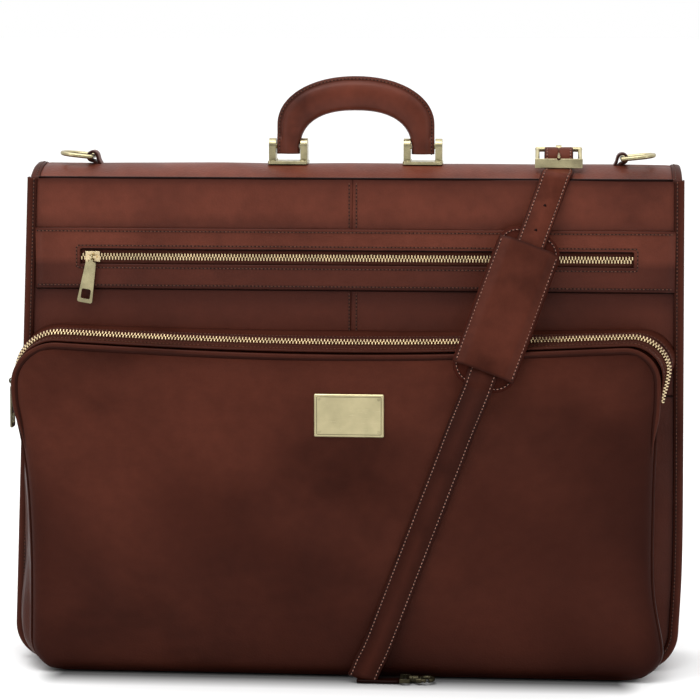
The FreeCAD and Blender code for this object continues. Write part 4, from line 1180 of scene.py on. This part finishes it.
# ---- handle ----
def grip(sizes):
    """Padded grip: a roll under a thin stitched flange, fuller at the top of the arch."""
    outer_x, foot = GRIP_HIGH.x, GRIP_LOW.z

    def arch(half, rise, top, power):
        """An arch on two straight feet: its points from right to left."""
        line = [Vector((half, foot))]
        for k in range(41):
            angle = math.pi * k / 40
            x = abs(math.cos(angle)) ** (2 / power) * math.copysign(1, math.cos(angle))
            line.append(Vector((half * x, top - rise + rise * math.sin(angle) ** (2 / power))))
        return even_line(line + [Vector((-half, foot))], 2.0 * MM)

    outer = arch(outer_x, 44 * MM, GRIP_HIGH.z, 2.1)
    inner = arch(outer_x - 20.6 * MM, 36 * MM, GRIP_HIGH.z - 31 * MM, 2.4)
    count = len(outer)
    frames, profiles, seam = [], [], []
    for k, point in enumerate(outer):
        share = k / (count - 1) * (len(inner) - 1)
        lower = inner[int(share)].lerp(inner[min(int(share) + 1, len(inner) - 1)], share % 1)
        width = (point - lower).length
        outward = Vector((point.x - lower.x, 0, point.y - lower.y))
        middle = Vector((lower.x, SPLIT_Y, lower.y))
        frames.append(frame_at(middle, outward, FORWARD))
        full = ease_in((foot + 19 * MM - max(point.y, lower.y)) / (7 * MM)) * 2.9 * MM
        upper = []
        for step in range(13):
            angle = math.pi * step / 12
            along = (width - 4.6 * MM) * (1 - math.cos(angle)) / 2
            valley = 2.3 * MM + full if step > 9 else 0.0
            upper.append((along, max(valley, 2.3 * MM * min(1, step / 3) + 5.5 * MM * math.sin(angle) ** 0.8)))
        upper[0] = (0.0, 0.0)
        upper += [(width - 3.6 * MM, 2.35 * MM + full), (width - 0.5 * MM, 2.1 * MM + full),
                  (width, 1.3 * MM + 1.1 * full)]
        lower_side = [(a, -b) for a, b in reversed(upper[1:])]
        profiles.append(upper + lower_side)
        seam.append((middle + outward.normalized() * (width - 2.4 * MM), 2.35 * MM + full))
    marks = []
    for a in range(len(profiles[0])):
        distance = min(abs(a - 15), abs(a - 16))
        marks.append(1.0 if distance < 1 else 0.35 if distance < 2 else 0.15 if 10 < a < 21 else 0.0)
    bm = sweep_mesh(profiles, frames, shades=marks)
    finish_piece(bm, "grip_leather", "handle", "handle", ["grip_cover", "grip_core"])
    threads = bmesh.new()
    for out in (-1, 1):
        line = [p + Vector((0, out * thick, 0)) for p, thick in seam]
        stitch_row(threads, line, [Vector((0, out, 0))] * 2, sizes, pitch=3.3 * MM)
    finish_piece(threads, "grip_stitching", "handle", "thread_dark")


def ring_tabs():
    """Leather tabs that loop round the bars of both rings."""
    pieces = bmesh.new()
    for name, side in (("left_ring_swing", -1), ("right_ring_swing", 1)):
        pivot = Vector(joint(name)["pos_m"])
        points = [pivot + Vector((-side * 7.5 * MM, 0, -7.5 * MM)),
                  pivot + Vector((-side * 5.2 * MM, 0, -3.2 * MM))]
        for degrees in (172, 140, 105, 70, 35, 0, -35, -70, -100):
            angle = math.radians(degrees)
            points.append(pivot + Vector((side * math.cos(angle), 0, math.sin(angle))) * 4.3 * MM)
        points.append(pivot + Vector((-side * 4.6 * MM, 0, -7.5 * MM)))
        line = smooth_line(points, 1.6 * MM)
        across = [BACKWARD] * len(line)
        part = sweep_mesh([strap_profile(15 * MM, 2.4 * MM)] * len(line), ribbon_frames(line, across),
                          shades=strap_shades())
        join_into(pieces, part)
    finish_piece(pieces, "ring_tab_leather", "spine", "handle", ["ring_tabs"])


# ---- shoulder strap ----
def strap_profile(width, thick):
    """Section of a strap: flat, with worn round edges."""
    w, t = width / 2, thick / 2
    right = [(w - 1.4 * MM, t), (w - 0.5 * MM, t * 0.8), (w, t * 0.3), (w, -t * 0.3), (w - 0.5 * MM, -t * 0.8),
             (w - 1.4 * MM, -t)]
    left = [(-a, -b) for a, b in right]
    return [(0.0, t * 1.08)] + right + [(0.0, -t)] + left


def strap_shades():
    return [0.0, 0.35, 0.9, 1.0, 1.0, 0.9, 0.5, 0.5, 0.5, 0.9, 1.0, 1.0, 0.9, 0.35]


def strap_line():
    """Middle line of the strap from its foot over the bag, with its width's direction."""
    slant = Vector((STRAP_LEAN.z, 0, -STRAP_LEAN.x))
    flat = Vector((1, 0, 0))
    foot_y, rear_y = POCKET_Y - SPLIT_Y, REAR_FACE_Y - SPLIT_Y + 3.4 * MM
    tail_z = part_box("strap_tail")[0].z
    stations = [
        ((11.6, foot_y / MM - 9.0, 3.4), slant), ((12.6, foot_y / MM - 12.6, 4.4), slant),
        ((14.4, foot_y / MM - 13.4, 8.0), slant), ((18.0, foot_y / MM - 12.0, 17), slant),
        ((27.0, foot_y / MM - 9.4, 36), slant),
        ((51.0, foot_y / MM - 6.0, 100), slant), ((82.3, foot_y / MM - 4.4, 184), slant),
        ((98.7, foot_y / MM - 9.5, 229), slant), ((112.4, -106.0, 265), slant), ((118.7, -101.6, 283), slant),
        ((145.7, -74.9, 356), slant), ((173.2, -45.0, 430), slant), ((180.2, -38.6, 449.2), slant),
        ((182.4, -33.0, 451.6), flat), ((183, -24, 454.6), flat), ((183, -12, 458.3), flat),
        ((183, 0, 459.8), flat), ((183, 14, 458.2), flat), ((183.4, 26, 454.0), flat),
        ((184.2, 34, 450.6), flat),
        ((185.4, 40.2, 445.0), flat), ((186.0, rear_y / MM, 436), flat), ((188.4, rear_y / MM, 370), flat),
        ((192.3, rear_y / MM, 260), flat), ((196.0, rear_y / MM, tail_z / MM), flat)]
    points = [Vector((x * MM, SPLIT_Y + y * MM, z * MM)) for (x, y, z), _ in stations]
    line = smooth_line(points, 3 * MM)
    sides = []
    for place in line:
        k = min(range(len(points)), key=lambda n: (points[n] - place).length)
        nearest = stations[k][1]
        other = stations[min(k + 1, len(points) - 1)][1]
        sides.append((nearest * 0.7 + other * 0.3).normalized())
    for _ in range(6):
        sides = [(sides[max(k - 1, 0)] + s + sides[min(k + 1, len(sides) - 1)]).normalized()
                 for k, s in enumerate(sides)]
    return line, sides


def shade_by_height(bm):
    """Darken a strap the lower it hangs: painted shade, as the lower strap gets less light."""
    layer = bm.verts.layers.float["shade"]
    for vert in bm.verts:
        vert[layer] = min(1.0, vert[layer] + 0.72 * ease_in((0.43 - vert.co.z) / 0.20))


def strap_part(name, line, sides, sizes, width=None):
    """A length of strap and its two rows of stitches."""
    width = width or STRAP_WIDTH
    frames = ribbon_frames(line, sides)
    bm = sweep_mesh([strap_profile(width, STRAP_THICK)] * len(frames), frames, shades=strap_shades())
    shade_by_height(bm)
    leather_piece = finish_piece(bm, name, None, "strap")
    threads = bmesh.new()
    for edge in (-1, 1):
        row = [f @ Vector((edge * (width / 2 - 2.6 * MM), 1.5 * MM, 0)) for f in frames]
        outs = [f.to_3x3() @ BACKWARD for f in frames]
        stitch_row(threads, row, outs, sizes)
    stitches = finish_piece(threads, name + "_stitching", None, "thread_light")
    return leather_piece, stitches


def strap_pieces(sizes):
    line, sides = strap_line()
    front_end = next(k for k, p in enumerate(line) if p.y > SPLIT_Y - 16 * MM)
    rear_start = next(k for k, p in enumerate(line) if p.y > SPLIT_Y + 16 * MM)
    hinge_front = Vector(joint("fold_front")["pos_m"])
    hinge_rear = Vector(joint("fold_rear")["pos_m"])
    for name, low, high, near, far, ends in (
            ("strap_front_run", 0, front_end, "front_half", "spine",
             ((0.18, hinge_front.y - 4 * MM, SEAM_Z - 9 * MM),
              (0.18, hinge_front.y + 5 * MM, SEAM_Z + 6 * MM))),
            ("strap_rear_run", rear_start, len(line) - 1, "spine", "rear_half",
             ((0.18, hinge_rear.y - 5 * MM, SEAM_Z + 6 * MM), (0.18, hinge_rear.y + 4 * MM, SEAM_Z - 9 * MM)))):
        for piece in strap_part(name, line[low:high + 1], sides[low:high + 1], sizes):
            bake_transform(piece, near, far, start=ends[0], end=ends[1])
            if not piece.name.endswith("stitching"):
                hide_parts("strap_front" if near == "front_half" else "strap_tail")
    crest = slice(front_end, rear_start + 1)
    for piece in strap_part("strap_crest", line[crest], sides[crest], sizes):
        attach(piece, "spine")
        if not piece.name.endswith("stitching"):
            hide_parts("strap_top")
    foot = [Vector((x * MM, POCKET_Y - y * MM, z * MM)) for x, y, z in
            ((8, 10.4, 2.2), (22, 10.5, 2.0), (36, 10.5, 2.0), (46, 10.5, 2.2))]
    foot = smooth_line(foot, 3 * MM)
    frames = ribbon_frames(foot, [BACKWARD] * len(foot))
    bm = sweep_mesh([strap_profile(12 * MM, STRAP_THICK)] * len(frames), frames, shades=strap_shades())
    shade_by_height(bm)
    # The turned end under the pocket's edge is near-black: painted shadow.
    finish_piece(bm, "strap_front_end", "front_half", "edge_and_shadow_paint")
    holes = bmesh.new()
    for z in (0.424, 0.401):
        place, side = min(zip(line, sides),
                          key=lambda item: abs(item[0].z - z) + (1 if item[0].y > SPLIT_Y else 0))
        spot = frame_at(place, side, side.cross(STRAP_LEAN))
        turn = spot @ Matrix.Translation((0, 1.42 * MM, 0)) @ Matrix.Rotation(math.pi / 2, 4, "X")
        size = Matrix.Diagonal((0.75, 1.25, 1, 1))
        bmesh.ops.create_cone(holes, cap_ends=True, segments=20, radius1=1.9 * MM, radius2=1.9 * MM,
                              depth=0.5 * MM, matrix=turn @ size)
    # The holes are near-black discs: painted shade inside them.
    finish_piece(holes, "strap_holes", "front_half", "edge_and_shadow_paint")


def buckle_turn(sizes):
    """The strap's end in the buckle: up behind the plain bar, over the prong, under the rear bar."""
    pivot = Vector(joint("buckle_prong_swing")["pos_m"])
    points = [pivot + Vector((0, y * MM, z * MM)) for y, z in (
        (-19.8, -15.0), (-19.6, -10.0), (-18.2, -4.6), (-14.2, -0.5), (-9.4, 1.1), (-5.2, 0.2), (-2.2, -3.0),
        (2.0, -4.6), (6.0, -7.0), (9.5, -9.6), (12.5, -11.4))]
    line = smooth_line(points, 1.8 * MM)
    pieces = bmesh.new()
    threads = bmesh.new()
    for edge in (-1, 1):
        across = [Vector((1, 0, 0))] * len(line)
        shifted = [p + Vector((edge * 6.45 * MM, 0, 0)) for p in line]
        frames = ribbon_frames(shifted, across)
        profile = strap_profile(PLY_WIDTH, PLY_THICK)
        marks = [1.0 if abs(a) > 5.6 * MM and a * edge > 0 else 0.0 for a, _ in profile]
        part = sweep_mesh([profile] * len(frames), frames, shades=marks)
        join_into(pieces, part)
        row = [f @ Vector((edge * 3.9 * MM, 1.35 * MM, 0)) for f in frames]
        outs = [f.to_3x3() @ BACKWARD for f in frames]
        stitch_row(threads, row, outs, sizes)
    finish_piece(pieces, "buckle_fold", "spine", "strap", ["buckle_loop"])
    finish_piece(threads, "buckle_fold_stitching", "spine", "thread_light")


def pad_frame():
    """The pad's middle and its matrix: X along the strap, Y across, Z away from the bag."""
    along = Vector(joint("pad_slide")["axis"]).normalized()
    across = along.cross(BACKWARD).normalized()
    normal = along.cross(across)
    low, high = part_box("pad_sleeve")
    middle = (low + high) / 2 - normal * 2.0 * MM
    return Matrix(((along.x, across.x, normal.x, middle.x), (along.y, across.y, normal.y, middle.y),
                   (along.z, across.z, normal.z, middle.z), (0, 0, 0, 1)))


def shoulder_pad(sizes):
    place_in = pad_frame()
    half, wide = 61 * MM, 28 * MM
    columns = merged(spaced(-half, half, 3 * MM), [-half + 0.5 * MM, half - 0.5 * MM])
    rows = merged(spaced(-wide, wide, 1.6 * MM), [-wide + 0.5 * MM, wide - 0.5 * MM])

    def height(across):
        rise = min(1.0, max(0.0, (wide - abs(across)) / (11 * MM)))
        return -0.2 * MM + 4.7 * MM * rise * rise * (3 - 2 * rise)

    def place(along, across):
        soft = wobble(along, across, 0, 0.03, 0.5 * MM) * max(0.0, 1 - abs(across) / wide)
        z = height(across) + 0.5 * MM * (1 - (along / half) ** 2) + soft
        z -= roll(min(half - abs(along), wide - abs(across)), 1.2 * MM) * 0.5
        return place_in @ Vector((along, across, z))

    def shade(along, across):
        rim = max(0.0, 1 - min(half - abs(along), wide - abs(across)) / (3 * MM))
        return min(1.0, rim * 0.9 + 0.25 * max(0.0, abs(along) / half - 0.6))

    bm = sheet_mesh(columns, rows, place, shade)
    outward = place_in.to_3x3() @ UPWARD
    if bm.faces[:][len(bm.faces) // 2].normal.dot(outward) < 0:
        bmesh.ops.reverse_faces(bm, faces=bm.faces[:])
    sleeve = finish_piece(bm, "pad_sleeve_leather", "shoulder_pad", "pad", ["pad_sleeve"],
                          wall=1.8 * MM)
    corners = in_mm([(-75, -29), (75, -29), (75, 29), (-75, 29)])
    ring = rounded_outline(corners, [20 * MM] * 4, 2 * MM)
    threads = bmesh.new()
    bm = bmesh.new()
    base = [bm.verts.new(place_in @ Vector((p.x, p.y, -2.1 * MM))) for p, _ in ring]
    face = bm.faces.new(base)
    bm.normal_update()
    if face.normal.dot(outward) < 0:
        bmesh.ops.reverse_faces(bm, faces=[face])
    bmesh.ops.inset_region(bm, faces=[face], thickness=1.2 * MM, use_even_offset=True)
    for vert in {v for e in bm.edges if e.is_boundary for v in e.verts}:
        vert.co -= outward * 0.7 * MM
    finish_piece(bm, "pad_backing_leather", "shoulder_pad", "suede", ["pad_backing"],
                 wall=LEATHER_WALL)
    line = [place_in @ Vector((p.x - n.x * 3 * MM, p.y - n.y * 3 * MM, -2.1 * MM)) for p, n in ring]
    stitch_row(threads, line + line[:1], [outward] * 2, sizes)
    for edge in (-1, 1):
        across = edge * (wide - 2.2 * MM)
        row = [place_in @ Vector((a, across, height(across) + 0.2 * MM))
               for a in (-half + 3 * MM, half - 3 * MM)]
        stitch_row(threads, row, [outward] * 2, sizes)
    finish_piece(threads, "pad_stitching", "shoulder_pad", "thread_light")


# ---- nameplate, zips, linings and hardware ----
def plate_border():
    """An engraved line round the blank nameplate."""
    middle = (PLATE_LOW + PLATE_HIGH) / 2
    w, h = (PLATE_HIGH.x - PLATE_LOW.x) / 2 - 2.4 * MM, (PLATE_HIGH.z - PLATE_LOW.z) / 2 - 2.4 * MM
    ring = rounded_outline([(-w, -h), (w, -h), (w, h), (-w, h)], [0.6 * MM] * 4, 0.8 * MM)
    frames = [frame_at(Vector((middle.x + p.x, PLATE_LOW.y, middle.z + p.y)), Vector((n.x, 0, n.y)),
                       FORWARD) for p, n in ring]
    profile = [(-0.3 * MM, -0.1 * MM), (-0.2 * MM, 0.2 * MM), (0.2 * MM, 0.2 * MM), (0.3 * MM, -0.1 * MM)]
    bm = sweep_mesh([profile] * len(frames), frames, closed_path=True)
    finish_piece(bm, "plate_border_line", "front_half", "bronze")


def upper_zip(sizes):
    y = FACE_Y - 1.2 * MM
    line = [Vector((CHAIN_LOW.x, y, ZIP_Z)), Vector((CHAIN_HIGH.x, y, ZIP_Z))]
    zip_teeth(line, [FORWARD] * 2, sizes, "upper_zip_teeth", "front_half",
              replaces=["upper_zip_chain"])
    rows = [ZIP_Z + d * MM for d in (-7.5, -3, -0.4, 0.4, 3, 7.5)]
    columns = spaced(CHAIN_LOW.x - 3 * MM, CHAIN_HIGH.x + 3 * MM, 10 * MM)

    def place(x, z):
        lift = 0.45 if abs(z - ZIP_Z) > 1 * MM else 0.2
        return Vector((x, FACE_Y - lift * MM, z))

    bm = sheet_mesh(columns, rows, place)
    finish_piece(bm, "upper_zip_cloth", "front_half", "tape", wall=0.6 * MM)


def inner_zip(sizes):
    low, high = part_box("inner_zip_chain")
    z, y = (low.z + high.z) / 2, high.y - 0.1 * MM
    line = [Vector((low.x, y, z)), Vector((high.x, y, z))]
    zip_teeth(line, [BACKWARD] * 2, sizes, "inner_zip_teeth", "front_half", scale=0.75)


CAD_FINISHES = {
    "brass": ["plate_rivets", "handle_brackets", "bracket_rivets", "left_ring", "right_ring", "buckle_frame",
              "buckle_prong", "upper_pull", "inner_pull", "handle_pins", "tail_swivel", "tail_hook",
              "tail_trigger"],
    "plate": ["nameplate"],
    "zip": ["upper_slider", "inner_slider", "inner_zip_chain"],
    "bronze": ["pocket_slider", "pocket_pull"],
    # The front hook hardware is darkened as painted shadow.
    "shadow_bronze": ["front_swivel", "front_hook", "front_trigger"],
    "steel": ["grip_ferrules", "hanger_clamp", "clamp_bar"],
    "lining": ["spine_lining", "upper_pocket_bag"],
    "tape": ["inner_zip_tape", "upper_zip_tape"],
    "webbing": ["garment_straps"],
    "gusset": ["spine_padding"],
}


# ---- operators ----
class PieceOperator:
    """Shared parts of every operator that makes pieces."""
    bl_options = {"REGISTER"}

    def execute(self, context):
        self.make(context.scene.garment_bag_sizes, context.scene.garment_bag_colours)
        return {"FINISHED"}


class BAG_OT_finishes(PieceOperator, bpy.types.Operator):
    """Make every material and give the carried-over metal and cloth parts theirs"""
    bl_idname = "garment_bag.finishes"
    bl_label = "Materials"

    def make(self, sizes, colours):
        MATERIALS.update(make_materials(colours))
        for finish, names in CAD_FINISHES.items():
            for name in names:
                node = frame["nodes"][name]
                node.data.materials.clear()
                node.data.materials.append(MATERIALS[finish])


class BAG_OT_front(PieceOperator, bpy.types.Operator):
    """Make the front half's leather, binding, zip band and stitching"""
    bl_idname = "garment_bag.front"
    bl_label = "Front half"

    def make(self, sizes, colours):
        outer_panel(-1, False)
        outer_panel(1, False)
        zip_band()
        band_stitching(sizes)
        dark_beads()
        edge_binding(False, sizes)
        side_wall(False)
        half_lining(False)


class BAG_OT_rear(PieceOperator, bpy.types.Operator):
    """Make the rear half's leather, binding and stitching"""
    bl_idname = "garment_bag.rear"
    bl_label = "Rear half"

    def make(self, sizes, colours):
        outer_panel(-1, True)
        outer_panel(1, True)
        edge_binding(True, sizes)
        side_wall(True)
        half_lining(True)


class BAG_OT_spine(PieceOperator, bpy.types.Operator):
    """Make the crowned spine and its bound ends"""
    bl_idname = "garment_bag.spine"
    bl_label = "Spine"

    def make(self, sizes, colours):
        spine_leather()
        spine_ends(sizes)
        ring_tabs()


class BAG_OT_pocket(PieceOperator, bpy.types.Operator):
    """Make the big front pocket with its piping and zip"""
    bl_idname = "garment_bag.pocket"
    bl_label = "Front pocket"

    def make(self, sizes, colours):
        pocket_wall(sizes)
        pocket_front(sizes)
        pocket_piping(sizes)
        pocket_zip(sizes)
        plate_border()


class BAG_OT_zips(PieceOperator, bpy.types.Operator):
    """Make the upper zip's and the lining zip's teeth and tape"""
    bl_idname = "garment_bag.zips"
    bl_label = "Zips"

    def make(self, sizes, colours):
        upper_zip(sizes)
        inner_zip(sizes)


class BAG_OT_handle(PieceOperator, bpy.types.Operator):
    """Make the padded and stitched grip"""
    bl_idname = "garment_bag.handle"
    bl_label = "Handle"

    def make(self, sizes, colours):
        grip(sizes)


class BAG_OT_strap(PieceOperator, bpy.types.Operator):
    """Make the shoulder strap, the fold at its buckle and its pad"""
    bl_idname = "garment_bag.strap"
    bl_label = "Shoulder strap"

    def make(self, sizes, colours):
        strap_pieces(sizes)
        buckle_turn(sizes)
        shoulder_pad(sizes)


FLOOR_HALF = 40.0
# Floor tones by distance from the bag's footprint: a painted contact shadow, near black at the bag and the
# plain floor tone further out.
PAINTED_FLOOR_SHADOW = [(0.0, (0.08,) * 3), (0.20, (0.36,) * 3), (0.45, (0.74,) * 3), (0.8, (0.83,) * 3)]
CAMERA_LENS = 125
CAMERA_AIM = Vector((-0.0025, FACE_Y, 0.2918))
CAMERA_AZIMUTH = math.radians(4.2)
CAMERA_ELEVATION = math.radians(8.1)
CAMERA_DISTANCE = 2.189
LIGHTS = (   # name, place, aim, size, watts
    ("key_above", (-0.35, -0.55, 2.1), (0, 0, 0.35), (1.5, 0.9), 20),
    ("left_strip", (-1.5, -1.3, 0.9), (0, 0, 0.25), (0.5, 1.3), 7),
    ("right_strip", (1.7, -0.9, 0.7), (0, 0, 0.25), (0.4, 1.3), 4),
)


def area_light(name, place, aim, size, power, colour=(1, 1, 1)):
    data = bpy.data.lights.new(name, "AREA")
    data.shape = "RECTANGLE"
    data.size, data.size_y = size
    data.energy = power
    data.color = colour
    lamp = bpy.data.objects.new(name, data)
    lamp.location = place
    lamp.rotation_euler = (Vector(aim) - Vector(place)).to_track_quat("-Z", "Y").to_euler()
    bpy.context.scene.collection.objects.link(lamp)


class BAG_OT_stage(PieceOperator, bpy.types.Operator):
    """Make the floor with its painted contact shadow, the soft lights and the camera"""
    bl_idname = "garment_bag.stage"
    bl_label = "Stage"

    def make(self, sizes, colours):
        scene = bpy.context.scene
        scene.view_settings.view_transform = "Standard"
        scene.view_settings.look = "None"
        bm = bmesh.new()
        bmesh.ops.create_grid(bm, x_segments=1, y_segments=1, size=FLOOR_HALF)
        mesh = bpy.data.meshes.new("floor")
        bm.to_mesh(mesh)
        bm.free()
        floor = bpy.data.objects.new("floor", mesh)
        scene.collection.objects.link(floor)
        material, tree, shader = new_material("floor_paper", 0.9)
        parts = tree.nodes.new("ShaderNodeSeparateXYZ")
        tree.links.new(coordinates(tree), parts.inputs[0])
        # The floor darkens towards the bag: painted contact shadow.
        gaps = []
        for axis, middle, half, weight in (("X", -0.01, 0.25, 1.6), ("Y", 0.006, 0.064, 1.0)):
            away = math_of(tree, "ABSOLUTE", math_of(tree, "SUBTRACT", parts.outputs[axis], middle), 0.0)
            beyond = math_of(tree, "MAXIMUM", math_of(tree, "SUBTRACT", away, half), 0.0)
            beyond = math_of(tree, "MULTIPLY", beyond, weight)
            gaps.append(math_of(tree, "MULTIPLY", beyond, beyond))
        gap = math_of(tree, "SQRT", math_of(tree, "ADD", *gaps), 0.0)
        tone = ramp_of(tree, math_of(tree, "MULTIPLY", gap, 13.0), PAINTED_FLOOR_SHADOW)
        tree.links.new(tone, shader.inputs["Base Color"])
        mesh.materials.append(material)
        world = bpy.data.worlds.new("studio")
        world.use_nodes = True
        tree = world.node_tree
        source = tree.nodes.new("ShaderNodeTexCoord")
        parts = tree.nodes.new("ShaderNodeSeparateXYZ")
        tree.links.new(source.outputs["Generated"], parts.inputs[0])
        behind = ramp_of(tree, math_of(tree, "ADD", math_of(tree, "MULTIPLY", parts.outputs["Y"], 0.5), 0.5),
                         [(0.25, (0.20,) * 3), (0.72, (1, 1, 1))])
        above = ramp_of(tree, parts.outputs["Z"], [(0.25, (0, 0, 0)), (0.95, (1, 1, 1))])
        sky = mixed(tree, above, behind, (1.9, 1.9, 1.9))
        tree.links.new(sky, tree.nodes["Background"].inputs["Color"])
        tree.nodes["Background"].inputs["Strength"].default_value = 1.0
        scene.world = world
        for light in LIGHTS:
            area_light(*light)
        camera_data = bpy.data.cameras.new("camera")
        camera_data.lens = CAMERA_LENS
        camera_data.sensor_width = 36
        camera = bpy.data.objects.new("camera", camera_data)
        level = math.cos(CAMERA_ELEVATION)
        back = Vector((math.sin(CAMERA_AZIMUTH) * level, -math.cos(CAMERA_AZIMUTH) * level,
                       math.sin(CAMERA_ELEVATION)))
        camera.location = CAMERA_AIM + back * CAMERA_DISTANCE
        camera.rotation_euler = (-back).to_track_quat("-Z", "Y").to_euler()
        scene.collection.objects.link(camera)
        scene.camera = camera


PIECE_OPERATORS = (BAG_OT_finishes, BAG_OT_stage, BAG_OT_front, BAG_OT_rear, BAG_OT_spine, BAG_OT_pocket,
                   BAG_OT_zips, BAG_OT_handle, BAG_OT_strap)


class BAG_PT_panel(bpy.types.Panel):
    """Lists the bag's operators, sizes and colours"""
    bl_idname = "BAG_PT_panel"
    bl_label = "Garment bag"
    bl_space_type = "VIEW_3D"
    bl_region_type = "UI"
    bl_category = "Garment bag"

    def draw(self, context):
        for operator in PIECE_OPERATORS:
            self.layout.operator(operator.bl_idname)
        for group in (context.scene.garment_bag_sizes, context.scene.garment_bag_colours):
            for name in group.__annotations__:
                self.layout.prop(group, name)


CLASSES = (BagSizes, BagColours, *PIECE_OPERATORS, BAG_PT_panel)


def register():
    for cls in CLASSES:
        bpy.utils.register_class(cls)
    bpy.types.Scene.garment_bag_sizes = bpy.props.PointerProperty(type=BagSizes)
    bpy.types.Scene.garment_bag_colours = bpy.props.PointerProperty(type=BagColours)


def unregister():
    del bpy.types.Scene.garment_bag_colours
    del bpy.types.Scene.garment_bag_sizes
    for cls in reversed(CLASSES):
        bpy.utils.unregister_class(cls)


def main():
    register()
    for operator in PIECE_OPERATORS:
        group, name = operator.bl_idname.split(".")
        getattr(getattr(bpy.ops, group), name)()


if __name__ == "__main__":
    main()
